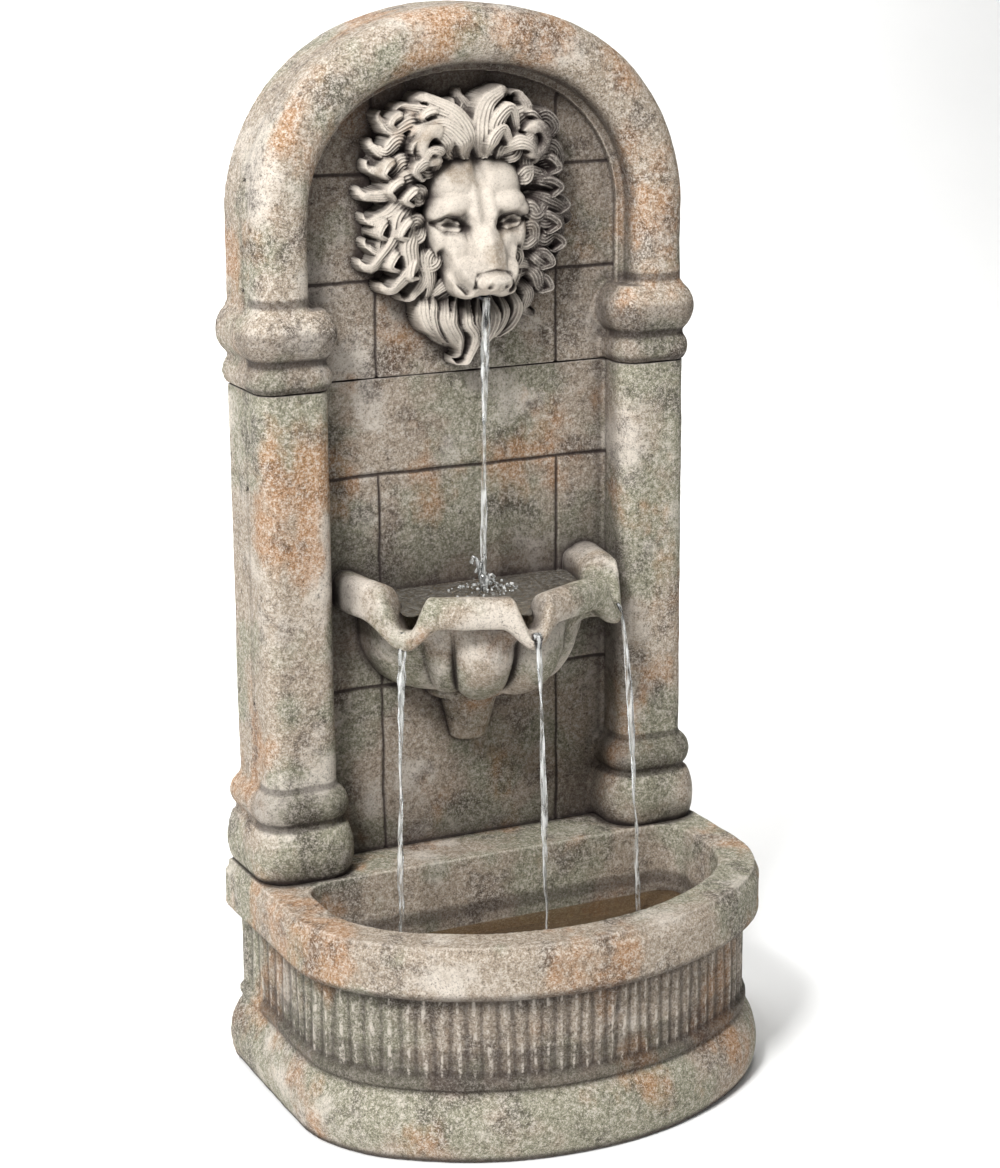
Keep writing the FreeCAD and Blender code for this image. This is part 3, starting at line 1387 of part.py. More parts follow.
def shaft_and_bushes(doc, s):
    """Ceramic shaft held in a rubber bush at each end."""
    rear = "sizes.volute_depth / 2 + sizes.rotor_length + 3"
    front = PUMP_FRONT + " - sizes.cover_thick"
    shaft = turned_body(doc, "rotor_shaft", [
        ("0", "1"), ("sizes.shaft_radius", "1"),
        ("sizes.shaft_radius", rear + " + sizes.bush_length - 1 - (" + front + ")"),
        ("0", rear + " + sizes.bush_length - 1 - (" + front + ")"),
    ])
    place(shaft, ALONG_X, x=front, y=PUMP_Y, z=PUMP_Z)
    made = []
    for name, start in (("front_bush", front), ("rear_bush", rear)):
        rubber = cylinder(doc, name, "sizes.bush_radius", "sizes.bush_length", ALONG_X,
                          x=start, y=PUMP_Y, z=PUMP_Z)
        hole = cylinder(doc, name + "_hole", "sizes.shaft_radius", "sizes.bush_length", ALONG_X,
                        x=start, y=PUMP_Y, z=PUMP_Z)
        made.append(less(doc, name + "_ring", rubber, hole))
    group(doc, "shaft_bushes", made)


def volute_cover(doc, s):
    """Cover of the impeller chamber, with a spider in its eye for the front bush."""
    rim = "sizes.volute_radius + sizes.volute_flange - sizes.cover_step"
    body = turned_body(doc, "volute_cover", [
        ("sizes.inlet_radius", "0"), (rim, "0"), (rim, "sizes.cover_thick"),
        ("sizes.inlet_radius", "sizes.cover_thick"),
    ])
    spoke = new_sketch(body, "XY_Plane", "spoke")
    add_box(spoke, "sizes.bush_radius + 0.8", "sizes.inlet_radius + 1", "-1", "1")
    pad = add_pad(body, spoke, "sizes.cover_thick", "spoke_pad")
    ring_of = body.newObject("PartDesign::PolarPattern", "spokes")
    ring_of.Originals = [pad]
    ring_of.Axis = (spoke, ["N_Axis"])
    ring_of.Angle = 360
    ring_of.Occurrences = 3
    body.Tip = ring_of
    hub = new_sketch(body, "XY_Plane", "hub")
    add_circle(hub, "sizes.bush_radius + sizes.running_gap")
    add_circle(hub, "sizes.bush_radius + 1.5")
    add_pad(body, hub, "sizes.cover_thick", "hub_pad")
    place(body, AWAY_X, x=PUMP_FRONT, y=PUMP_Y, z=PUMP_Z)


def intake_cap(doc, s):
    """Slotted cap over the cover, pushed on by hand."""
    inner = "sizes.volute_radius + sizes.volute_flange - sizes.cover_step + sizes.fit_gap"
    body = turned_body(doc, "intake_cap", [
        (inner, "0.8"), (inner + " + sizes.cap_wall", "0.8"),
        (inner + " + sizes.cap_wall", "sizes.cap_length - 2"),
        (inner + " + sizes.cap_wall - 2", "sizes.cap_length"), ("0", "sizes.cap_length"),
        ("0", "sizes.cap_length - sizes.cap_wall"), (inner, "sizes.cap_length - sizes.cap_wall"),
    ])
    slot = new_sketch(body, "XY_Plane", "cap_slot")
    reach = "sizes.volute_radius * 0.72"
    add_box(slot, "-" + reach, reach, "-" + reach, "-" + reach + " + 3")
    pocket = add_pocket(body, slot, "sizes.cap_length * 2")
    row = body.newObject("PartDesign::LinearPattern", "cap_row")
    row.Originals = [pocket]
    row.Direction = (slot, ["V_Axis"])
    row.setExpression("Length", "2 * " + reach + " - 3")
    row.setExpression("Occurrences", "sizes.cap_slots")
    body.Tip = row
    place(body, AWAY_X, x=PUMP_FRONT, y=PUMP_Y, z=PUMP_Z)


def filter_sponge(doc, s):
    """Foam disc behind the cap's slots."""
    sponge = cylinder(doc, "filter_sponge", "sizes.volute_radius + sizes.volute_flange - sizes.cover_step",
                      "sizes.cap_length - sizes.cap_wall - sizes.cover_thick - 3", AWAY_X,
                      x=PUMP_FRONT + " - sizes.cover_thick - 2.5", y=PUMP_Y, z=PUMP_Z)
    sponge.Label = "filter_sponge"


def pump_fittings(doc, s):
    """Flow knob, hose tail, lead gland and suction feet."""
    knob = turned_body(doc, "flow_knob", [
        ("0", "-5"), ("sizes.spindle_radius", "-5"), ("sizes.spindle_radius", "0.5"),
        ("sizes.knob_radius", "0.5"),
        ("sizes.knob_radius", "sizes.knob_length"), ("0", "sizes.knob_length"),
    ])
    grip = new_sketch(knob, "XY_Plane", "knob_grip")
    add_box(grip, "-1", "1", "-sizes.knob_radius", "sizes.knob_radius")
    add_pad(knob, grip, "sizes.knob_length + 3", "grip_pad")
    place(knob, TO_VIEWER, y=HOSE_Y + " - sizes.hose_outer - 0.5", z=PUMP_Z + " + sizes.pump_height / 2 + 8")
    barb = turned_body(doc, "outlet_barb", [
        ("3.5", "-3.5"), ("sizes.nozzle_bore + 0.95", "-3.5"), ("sizes.nozzle_bore + 0.95", "0"),
        ("sizes.hose_outer", "0"), ("sizes.hose_outer", "2"), ("sizes.hose_bore - 0.1", "2"),
        ("sizes.hose_bore - 0.1", "sizes.barb_length"), ("sizes.hose_bore - 1", "sizes.barb_length + 2"),
        ("3.5", "sizes.barb_length + 2"),
    ])
    place(barb, UPRIGHT, y=HOSE_Y, z=PUMP_Z + " + sizes.pump_height / 2 + sizes.outlet_rise")
    gland = turned_body(doc, "cable_gland", [
        ("0", "-sizes.gland_neck_length"), ("sizes.gland_neck", "-sizes.gland_neck_length"),
        ("sizes.gland_neck", "0"), ("sizes.gland_neck + 3", "0"),
        ("sizes.gland_neck + 3", "sizes.gland_length / 3"),
        ("sizes.gland_neck + 0.5", "sizes.gland_length"), ("0", "sizes.gland_length"),
    ])
    place(gland, ALONG_X, x="sizes.volute_depth / 2 + sizes.motor_length", y=PUMP_Y, z=PUMP_Z)
    feet = []
    for k, (side, row) in enumerate(((a, b) for a in ("12", "sizes.motor_length") for b in ("-", "+")), 1):
        feet.append(cylinder(doc, "foot_%d" % k, "sizes.foot_radius", "sizes.pump_lift", UPRIGHT, x=side,
                             y=PUMP_Y + " " + row + " sizes.pump_width / 4", z="sizes.pool_floor"))
    group(doc, "suction_feet", feet)


MAKERS = [
    basin, column_section, arch_section, lion_mask, scallop_bowl, bowl_bracket,
    riser_hose, jet_nozzle, hose_clamps,
    studs, washers, nuts, dowels, joint_straps, strap_screws, wall_inserts,
    drain_plug, intake_grille, cable_grommet, access_door, door_seal, door_fasteners,
    pump_body, rotor, shaft_and_bushes, volute_cover, intake_cap, filter_sponge, pump_fittings,
]


def sub_parts(doc):
    """Top-level shapes: bodies and compounds that nothing else is built from."""
    kinds = ("Part::Feature", "PartDesign::Body", "Part::Compound", "Part::Cylinder")
    return [item for item in doc.Objects if item.TypeId in kinds and not item.InList]


def main():
    os.makedirs("parts", exist_ok=True)
    doc = FreeCAD.newDocument("wall_fountain")
    s = make_sheet(doc)
    for make in MAKERS:
        make(doc, s)
    doc.recompute()
    for item in doc.Objects:
        if "Invalid" in item.State or "Error" in item.State:
            raise RuntimeError("%s did not build" % item.Name)
    for item in sub_parts(doc):
        if item.Shape.isNull() or not item.Shape.isValid():
            raise RuntimeError("%s has no valid shape" % item.Label)
        item.Shape.exportStep("parts/%s.step" % item.Label)


main()
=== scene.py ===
import math
import random

import bmesh
import bpy
from mathutils import Matrix, Vector, noise


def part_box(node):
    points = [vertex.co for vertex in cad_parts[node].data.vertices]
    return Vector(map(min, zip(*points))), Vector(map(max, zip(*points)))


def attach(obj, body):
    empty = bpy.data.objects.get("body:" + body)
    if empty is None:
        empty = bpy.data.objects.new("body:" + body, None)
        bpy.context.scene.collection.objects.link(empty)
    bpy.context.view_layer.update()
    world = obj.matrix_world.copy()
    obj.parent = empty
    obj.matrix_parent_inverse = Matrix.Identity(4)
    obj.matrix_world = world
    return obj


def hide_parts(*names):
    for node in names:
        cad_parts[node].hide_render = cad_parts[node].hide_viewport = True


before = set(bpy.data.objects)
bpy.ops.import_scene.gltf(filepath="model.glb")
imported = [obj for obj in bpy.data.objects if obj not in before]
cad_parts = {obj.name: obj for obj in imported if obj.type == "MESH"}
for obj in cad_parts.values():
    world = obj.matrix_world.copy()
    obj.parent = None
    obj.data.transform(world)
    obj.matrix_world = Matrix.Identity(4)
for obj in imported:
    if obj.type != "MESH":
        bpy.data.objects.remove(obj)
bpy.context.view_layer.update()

bl_info = {
    "name": "Garden wall fountain",
    "version": (1, 0, 0),
    "blender": (4, 5, 0),
    "location": "View3D > Sidebar > Fountain",
    "description": "Dresses the wall fountain: stained castings, lion head, petalled bowl and running water",
    "category": "Object",
}

MM = 0.001
# the face of the panel behind mask and bowl, the bowl's lowest point, the seam under the capitals
PANEL_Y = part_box("bowl_bracket")[1][1]
BOWL_FOOT_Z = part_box("scallop_bowl")[0][2]
SEAM_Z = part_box("arch_section")[0][2]
SPOUT_Z = (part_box("jet_nozzle")[0][2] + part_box("jet_nozzle")[1][2]) / 2


def linear(hexadecimal):
    """sRGB hex to linear colour."""
    channels = [int(hexadecimal[k:k + 2], 16) / 255 for k in (1, 3, 5)]
    return (*[c / 12.92 if c <= 0.04045 else ((c + 0.055) / 1.055) ** 2.4 for c in channels], 1.0)


def length_property(name, description, default, low, high):
    return bpy.props.FloatProperty(
        name=name, description=description, default=default, min=low, max=high, unit="LENGTH")


def colour_property(name, description, hexadecimal):
    return bpy.props.FloatVectorProperty(
        name=name, description=description, subtype="COLOR", size=4, min=0.0, max=1.0,
        default=linear(hexadecimal))


class FountainSizes(bpy.types.PropertyGroup):
    """Sizes that a user would change"""
    pool_level: length_property("Pool level", "Water in the basin above the floor", 0.140, 0.06, 0.195)
    bowl_level: length_property("Bowl level", "Water in the bowl above the floor", 0.4585, 0.43, 0.47)
    jet_width: length_property("Jet width", "Thickness of the jet at the lion's mouth", 0.0084, 0.003, 0.02)
    spill_width: length_property("Spill width", "Thickness of the water at each spout", 0.0072, 0.003, 0.02)
    casting_grain: length_property(
        "Casting grain", "Spacing of the points on the castings' skin", 0.0019, 0.0015, 0.006)
    carving_grain: length_property(
        "Carving grain", "Spacing of the points on the lion's head", 0.0013, 0.0008, 0.004)
    unevenness: length_property(
        "Unevenness", "How far the hand-finished skin wanders from true", 0.0016, 0.0, 0.006)
    flute_height: length_property(
        "Flute height", "From the hollow to the crest of a flute on the waist", 0.0022, 0.0, 0.006)
    joint_width: length_property(
        "Joint width", "Scored joints between the panel's blocks", 0.0022, 0.0, 0.006)


class FountainColours(bpy.types.PropertyGroup):
    """Colours that a user would change"""
    ivory: colour_property("Ivory", "Dry-brushed highlights", "#dcd3c7")
    buff: colour_property("Buff", "Warm body of the castings", "#a0917f")
    sage: colour_property("Sage", "Green-grey wash", "#8a8873")
    rust: colour_property("Rust", "Orange stain", "#ab7d52")
    # This colour also serves as the painted shade in recesses, under the mouldings and over the lion's right
    # side
    umber_and_shade: colour_property("Umber", "Dark wash in the recesses", "#2f2624")
    water: colour_property("Water", "Tint of the pool", "#c9b893")


# Nodes

def add(tree, kind, sockets=None, **settings):
    """Add a node with its settings; a shader node's kind goes without its prefix.

    A socket takes a value, a node's output, or a node, which stands for its first output in use.
    """
    made = tree.nodes.new(kind if "Node" in kind else "ShaderNode" + kind)
    for key, value in settings.items():
        setattr(made, key, value)
    for key, value in (sockets or {}).items():
        if isinstance(value, bpy.types.Node):
            value = next(output for output in value.outputs if output.enabled)
        if isinstance(value, bpy.types.NodeSocket):
            tree.links.new(value, made.inputs[key])
        else:
            made.inputs[key].default_value = value
    return made


def new_material(name):
    """Empty material, its tree and the place of each point of the surface."""
    made = bpy.data.materials.new(name)
    made.use_nodes = True
    made.node_tree.nodes.clear()
    return made, made.node_tree, add(made.node_tree, "TexCoord").outputs["Object"]


def per_mm(size_mm):
    """Noise scale that gives features of about this size, with coordinates in metres."""
    return 1000.0 / size_mm


# Noises of the cast resin: size of a feature in mm, detail, roughness, place in the noise;
# rubbed is for the crests of the flutes
RESIN_NOISES = {
    "wash": (120, 3.0, 0.6, 1.0),
    "dry_brush": (70, 5.0, 0.6, 2.0),
    "rust": (85, 4.0, 0.6, 3.0),
    "shade": (48, 6.0, 0.7, 4.0),
    "sponge": (4.2, 8.0, 0.9, 5.0),
    "grain": (1.6, 3.0, 0.7, 7.0),
    "rubbed": (9, 5.0, 0.8, 9.0),
}


def stained_and_shaded_resin(name, warmth, green, pale, speckle=1.0, grime=1.0, wash_and_shade_reach=0.09, wash_and_shade_bands=(),
                       jointed=False, fluted=False, right_side_shade=False):
    """Cast resin with stone powder, given a wash of dark stain and sponged with pale paint, with painted
    shade in its recesses and under its mouldings.

    The eye gets a matt, sandy skin: pale grains on the high spots, dark wash and painted shade in every
    recess.
    wash_and_shade_reach is how far the dark wash and painted shade reach from a recess, and a band of
    wash_and_shade_bands is its lowest and highest Z and its strength.
    """
    colours = bpy.context.scene.fountain_colours
    ivory, umber_and_shade = colours.ivory, colours.umber_and_shade
    sizes = bpy.context.scene.fountain_sizes
    material, tree, place = new_material(name)
    parts = add(tree, "SeparateXYZ", {0: place}).outputs
    surface = add(tree, "NewGeometry").outputs
    noises = {}
    for key, (size_mm, detail, rough, shift) in RESIN_NOISES.items():
        if key == "rubbed" and not fluted:
            continue
        moved = add(tree, "Mapping", {"Vector": place, "Location": (shift, shift * 0.7, shift * 1.3),
                                      "Scale": (1, 1, 0.7 if key == "rust" else 1)})
        noises[key] = add(tree, "TexNoise", {"Vector": moved, "Scale": per_mm(size_mm),
                                             "Detail": detail, "Roughness": rough})
    sponge, grain = noises["sponge"], noises["grain"]
    # occlusion over a wide and a near reach: dark wash and painted shade in recesses
    wide = add(tree, "AmbientOcclusion", {"Distance": wash_and_shade_reach}, samples=8, only_local=fluted)
    near = add(tree, "AmbientOcclusion", {"Distance": 0.012}, samples=8)

    # coats of paint and of painted shade: pattern, where it starts, where it is full, strength, colour
    coats = [
        # broad washes, a hand's breadth across
        (noises["wash"], 0.62 - 0.25 * green, 0.72 - 0.25 * green, 1.0, colours.sage),
        (noises["dry_brush"], 0.62 - 0.2 * pale, 0.76 - 0.2 * pale, 0.75, ivory),
        (noises["rust"], 0.63 - 0.12 * warmth, 0.76 - 0.12 * warmth, 0.8, colours.rust),
        (noises["shade"], 0.51, 0.36, 0.6 * grime, umber_and_shade),
    ]
    if right_side_shade:
        # painted shade over the lion's right side, where the light doesn't reach
        coats.append((parts["X"], 0.042, 0.064, 0.88, umber_and_shade))
    coats += [
        # crusted paint, in flecks of 3 to 5 mm with a ragged edge
        (sponge, 0.50, 0.58, 0.72 * speckle, ivory),
        (sponge, 0.47, 0.38, 0.72 * speckle, umber_and_shade),
        # single grains, about 1 mm
        (grain, 0.54, 0.64, 0.6 * speckle, ivory),
        (grain, 0.44, 0.34, 0.6 * speckle, umber_and_shade),
        # dark wash and painted shade settled in recesses, and worn edges
        (wide.outputs["AO"], 0.92, 0.40, 0.72, umber_and_shade),
        (near.outputs["AO"], 0.90, 0.45, 0.85, umber_and_shade),
        (surface["Pointiness"], 0.515, 0.58, 0.4, ivory),
    ]
    for low, high, depth in wash_and_shade_bands:
        # dark wash and painted shade in a band under and between the mouldings, only in front of the panel,
        # and fading above
        soft = min(0.006, high - low)
        for part, start, full in (("Y", PANEL_Y - 0.006, PANEL_Y - 0.014), ("Z", high + soft, high)):
            depth = add(tree, "MapRange", {"Value": parts[part], "From Min": start, "From Max": full,
                                           "To Max": depth}, interpolation_type="SMOOTHSTEP")
        coats.append((parts["Z"], low - soft, low, depth, umber_and_shade))
    if fluted:
        flutes = waist_flutes(tree, place, parts, surface["Normal"])
        crest = add(tree, "MapRange", {"Value": noises["rubbed"], "From Min": 0.47, "From Max": 0.58,
                                       "To Max": 0.6}, interpolation_type="SMOOTHSTEP")
        # dark wash and painted shade in the troughs of the flutes, pale paint rubbed on their crests
        coats += [(flutes, 0.45, 0.10, 0.45, umber_and_shade), (flutes, 0.68, 0.92, crest, ivory)]
    tone = colours.buff
    for pattern, start, full, strength, colour in coats:
        cover = add(tree, "MapRange", {"Value": pattern, "From Min": start, "From Max": full,
                                       "To Max": strength}, interpolation_type="SMOOTHSTEP")
        tone = add(tree, "Mix", {0: cover, 6: tone, 7: colour}, data_type="RGBA")
    if jointed:
        scored, flat = panel_joints(tree, place, parts, sizes.joint_width)
        # painted shade over the flat panel, which lies back behind the columns and the arch; the scored
        # joints are dark
        for mask, strength in ((flat, 0.2), (scored, 0.8)):
            cover = add(tree, "Math", {0: mask, 1: strength}, operation="MULTIPLY")
            tone = add(tree, "Mix", {0: cover, 6: tone, 7: umber_and_shade}, data_type="RGBA")

    height = add(tree, "Math", {0: sponge, 1: 1.3}, operation="MULTIPLY")
    height = add(tree, "Math", {0: grain, 1: 0.5, 2: height}, operation="MULTIPLY_ADD")
    bump = add(tree, "Bump", {"Height": height, "Strength": 0.8, "Distance": 0.0012})
    shader = add(tree, "BsdfPrincipled", {"Base Color": tone, "Normal": bump, "Roughness": 0.8,
                                          "IOR": 1.45, "Specular IOR Level": 0.3})
    add(tree, "OutputMaterial", {"Surface": shader})
    return material


# The panel's joints: Z of the level ones, X of the upright ones; no upright between the third and the seam
LEVEL_JOINTS = (0.846, 0.749, 0.570, 0.367)
UPRIGHT_JOINTS = (-0.087, 0.096)


def panel_joints(tree, place, parts, width):
    """Masks of the scored joints between the panel's blocks, and of the flat panel itself."""
    wander = add(tree, "TexNoise", {"Vector": place, "Scale": per_mm(45)})
    wander = add(tree, "Math", {0: wander, 1: 0.5}, operation="SUBTRACT")
    wander = add(tree, "Math", {0: wander, 1: 0.004}, operation="MULTIPLY")
    plain = add(tree, "Math", {0: parts["Z"], 1: (LEVEL_JOINTS[2] + SEAM_Z) / 2,
                               2: (SEAM_Z - LEVEL_JOINTS[2]) / 2}, operation="COMPARE")
    coursed = add(tree, "Math", {0: 1.0, 1: plain}, operation="SUBTRACT")
    total = 0.0
    for axis, at, half in ([("Z", z, width) for z in LEVEL_JOINTS]
                           + [("X", x, width * 0.8) for x in UPRIGHT_JOINTS]):
        off = add(tree, "Math", {0: parts[axis], 1: wander}, operation="ADD")
        off = add(tree, "Math", {0: off, 1: at}, operation="SUBTRACT")
        off = add(tree, "Math", {0: off}, operation="ABSOLUTE")
        line = add(tree, "MapRange", {"Value": off, "From Min": half, "From Max": half * 0.4,
                                      "To Max": coursed if axis == "X" else 1.0},
                   interpolation_type="SMOOTHSTEP")
        total = add(tree, "Math", {0: total, 1: line}, operation="MAXIMUM")
    flat = add(tree, "Math", {0: parts["Y"], 1: PANEL_Y, 2: 0.004}, operation="COMPARE")
    return add(tree, "Math", {0: total, 1: flat}, operation="MULTIPLY"), flat


# Flutes in a whole turn, and the Z where they start and are full, at the foot and at the top
FLUTE_COUNT = 80.0
WAIST_FADES = ((0.072, 0.084), (0.158, 0.146))


def waist_flutes(tree, place, parts, facing):
    """Upright flutes, about 17 mm apart, only on the outside of the waist; 0.5 elsewhere."""
    round_about = add(tree, "TexGradient", {"Vector": place}, gradient_type="RADIAL").outputs["Fac"]
    squeezed = add(tree, "VectorMath", {0: place, 1: (1.0, 1.0, 0.2)}, operation="MULTIPLY")
    wander = add(tree, "TexNoise", {"Vector": squeezed, "Scale": per_mm(22)})
    count = add(tree, "Math", {0: round_about, 1: FLUTE_COUNT, 2: wander}, operation="MULTIPLY_ADD")
    ridges = add(tree, "Math", {0: count, 1: 0.5}, operation="PINGPONG")
    ridges = add(tree, "Math", {0: ridges, 1: 2.0}, operation="MULTIPLY")
    outward = add(tree, "VectorMath", {0: facing, 1: place}, operation="DOT_PRODUCT").outputs["Value"]
    outside = add(tree, "Math", {0: outward, 1: 0.06}, operation="GREATER_THAN")
    front = add(tree, "Math", {0: parts["Y"], 1: 0.16}, operation="LESS_THAN")
    band = add(tree, "Math", {0: outside, 1: front}, operation="MULTIPLY")
    for start, full in WAIST_FADES:
        band = add(tree, "MapRange", {"Value": parts["Z"], "From Min": start, "From Max": full,
                                      "To Max": band}, interpolation_type="SMOOTHSTEP")
    return add(tree, "Mix", {0: band, 2: 0.5, 3: ridges}, data_type="FLOAT")


def cut_lines(name, kind, size):
    """Geometry nodes that score the panel's joints or raise the waist's flutes in the skin itself."""
    tree = bpy.data.node_groups.new(name, "GeometryNodeTree")
    for way in ("INPUT", "OUTPUT"):
        tree.interface.new_socket("Geometry", in_out=way, socket_type="NodeSocketGeometry")
    skin = add(tree, "NodeGroupInput")
    place = add(tree, "GeometryNodeInputPosition").outputs["Position"]
    facing = add(tree, "GeometryNodeInputNormal").outputs["Normal"]
    parts = add(tree, "SeparateXYZ", {0: place}).outputs
    if kind == "joints":
        lines, gain, start = panel_joints(tree, place, parts, size)[0], -size, 0.0
    else:
        lines, gain, start = waist_flutes(tree, place, parts, facing), size, -size / 2
    lift = add(tree, "Math", {0: lines, 1: gain, 2: start}, operation="MULTIPLY_ADD")
    moved = add(tree, "VectorMath", {0: facing, "Scale": lift}, operation="SCALE")
    placed = add(tree, "GeometryNodeSetPosition", {"Geometry": skin, "Offset": moved})
    add(tree, "NodeGroupOutput", {0: placed})
    return tree


def running_water(name, tint, foam=0.0, silt=0.0, mud="#8a7156"):
    """Water: clear and rippled, a little cloudy where it stands, with streaks of foam where it falls fast."""
    material, tree, place = new_material(name)
    waves = add(tree, "TexNoise", {"Vector": place, "Scale": per_mm(8), "Detail": 2.0})
    bump = add(tree, "Bump", {"Height": waves, "Strength": 0.35, "Distance": 0.0015})
    drawn = add(tree, "Mapping", {"Vector": place, "Scale": (1.0, 1.0, 0.16)})
    streaks = add(tree, "TexNoise", {"Vector": drawn, "Scale": per_mm(3), "Detail": 3.0})
    share = add(tree, "MapRange", {"Value": streaks, "From Min": 0.42, "From Max": 0.62, "To Max": foam})
    clear, cloudy, white = (
        add(tree, "BsdfPrincipled", {"Base Color": colour, "Normal": bump, "Roughness": roughness,
                                     "IOR": 1.333, "Transmission Weight": passing})
        for colour, roughness, passing in (
            (tint, 0.03, 1.0), (linear(mud), 0.05, 0.0), (linear("#f3f4f2"), 0.25, 0.0)))
    body = add(tree, "MixShader", {0: silt, 1: clear, 2: cloudy})
    mixed = add(tree, "MixShader", {0: share, 1: body, 2: white})
    add(tree, "OutputMaterial", {"Surface": mixed})
    return material


def moulded_plastic(name, colour, roughness, grain_mm=0.6):
    """Moulded plastic, rubber or foam: a fine spark-eroded grain, dulled by dust in clouds."""
    material, tree, place = new_material(name)
    grain = add(tree, "TexNoise", {"Vector": place, "Scale": per_mm(grain_mm), "Detail": 2.0})
    dust = add(tree, "TexNoise", {"Vector": place, "Scale": per_mm(18), "Detail": 5.0})
    dusty = [min(1.0, c * 1.5) for c in linear(colour)]
    tone = add(tree, "Mix", {0: dust, 6: linear(colour), 7: dusty}, data_type="RGBA")
    gloss = add(tree, "MapRange", {"Value": dust, "To Min": roughness - 0.06, "To Max": roughness + 0.08})
    bump = add(tree, "Bump", {"Height": grain, "Strength": 0.25, "Distance": 0.0002})
    shader = add(tree, "BsdfPrincipled", {"Base Color": tone, "Roughness": gloss, "Normal": bump,
                                          "IOR": 1.49})
    add(tree, "OutputMaterial", {"Surface": shader})
    return material


def plated_metal(name, colour, roughness):
    """Zinc-plated steel or turned brass: metal with faint blotches and brushing."""
    material, tree, place = new_material(name)
    drawn = add(tree, "Mapping", {"Vector": place, "Scale": (1.0, 1.0, 8.0)})
    brush = add(tree, "TexNoise", {"Vector": drawn, "Scale": per_mm(2), "Detail": 4.0})
    blotch = add(tree, "TexNoise", {"Vector": place, "Scale": per_mm(7), "Detail": 4.0})
    dull = [c * 0.62 for c in linear(colour)]
    tone = add(tree, "Mix", {0: blotch, 6: linear(colour), 7: dull}, data_type="RGBA")
    gloss = add(tree, "MapRange", {"Value": brush, "To Min": roughness - 0.08, "To Max": roughness + 0.12})
    shader = add(tree, "BsdfPrincipled", {"Base Color": tone, "Roughness": gloss, "Metallic": 1.0})
    add(tree, "OutputMaterial", {"Surface": shader})
    return material


# Meshes

def new_piece(name, bm, material):
    """Turn a bmesh into a smooth-shaded object."""
    mesh = bpy.data.meshes.new(name)
    bm.to_mesh(mesh)
    bm.free()
    for polygon in mesh.polygons:
        polygon.use_smooth = True
    mesh.materials.append(material)
    piece = bpy.data.objects.new(name, mesh)
    bpy.context.scene.collection.objects.link(piece)
    return piece


def finish_mesh(name, bm, material):
    """Turn a bmesh into a piece that rides on the fountain."""
    bmesh.ops.recalc_face_normals(bm, faces=bm.faces)
    piece = new_piece(name, bm, material)
    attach(piece, "fountain")
    return piece


def dress(node, material):
    """Give a carried-over node its material."""
    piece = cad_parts[node]
    piece.data.materials.clear()
    piece.data.materials.append(material)
    return piece


def ball(bm, centre, radii, turn=None, detail=3):
    """Ellipsoid in millimetres."""
    matrix = Matrix.Translation(Vector(centre) * MM)
    if turn:
        matrix = matrix @ turn.to_4x4()
    matrix = matrix @ Matrix.Diagonal((*[r * MM for r in radii], 1.0))
    bmesh.ops.create_icosphere(bm, subdivisions=detail, radius=1.0, matrix=matrix)


def bridge(bm, rings, capped=True):
    """Faces between closed rings and over the last one, and over the first if capped."""
    for a, b in zip(rings, rings[1:]):
        for j in range(len(a)):
            k = (j + 1) % len(a)
            bm.faces.new((a[j], a[k], b[k], b[j]))
    if capped:
        bm.faces.new(list(reversed(rings[0])))
    bm.faces.new(rings[-1])


def tube(bm, points, radii, sides=8):
    """Closed tube through points, in millimetres, with a radius at each point."""
    rings = []
    for k, point in enumerate(points):
        ahead = points[min(k + 1, len(points) - 1)] - points[max(k - 1, 0)]
        ahead.normalize()
        side = ahead.cross(Vector((0, -1, 0.02)))
        side.normalize()
        up = side.cross(ahead)
        ring = []
        for j in range(sides):
            turn = 2 * math.pi * j / sides
            spot = point + (side * math.cos(turn) + up * math.sin(turn)) * radii[k]
            ring.append(bm.verts.new(spot * MM))
        rings.append(ring)
    bridge(bm, rings)


def add_modifiers(piece, steps):
    for name, kind, settings in steps:
        modifier = piece.modifiers.new(name, kind)
        for key, value in settings.items():
            setattr(modifier, key, value)


def modified(bm, *steps):
    """Run a bmesh through modifiers and give the result back as a bmesh."""
    mesh = bpy.data.meshes.new("work")
    bm.to_mesh(mesh)
    bm.free()
    work = bpy.data.objects.new("work", mesh)
    bpy.context.scene.collection.objects.link(work)
    add_modifiers(work, steps)
    result = bpy.data.meshes.new_from_object(work.evaluated_get(bpy.context.evaluated_depsgraph_get()))
    out = bmesh.new()
    out.from_mesh(result)
    bpy.data.objects.remove(work)
    bpy.data.meshes.remove(mesh)
    bpy.data.meshes.remove(result)
    return out


def smoothstep(low, high, value):
    share = min(1.0, max(0.0, (value - low) / (high - low)))
    return share * share * (3 - 2 * share)


def hump(value, centre, width):
    return math.exp(-((value - centre) / width) ** 2)


def spline(before, a, b, after, f):
    """Point a share f of the way from a to b, on the smooth curve through four marks."""
    return [0.5 * (2 * a[i] + (b[i] - before[i]) * f
                   + (2 * before[i] - 5 * a[i] + 4 * b[i] - after[i]) * f * f
                   + (3 * a[i] - before[i] - 3 * b[i] + after[i]) * f ** 3) for i in (0, 1)]


# Castings

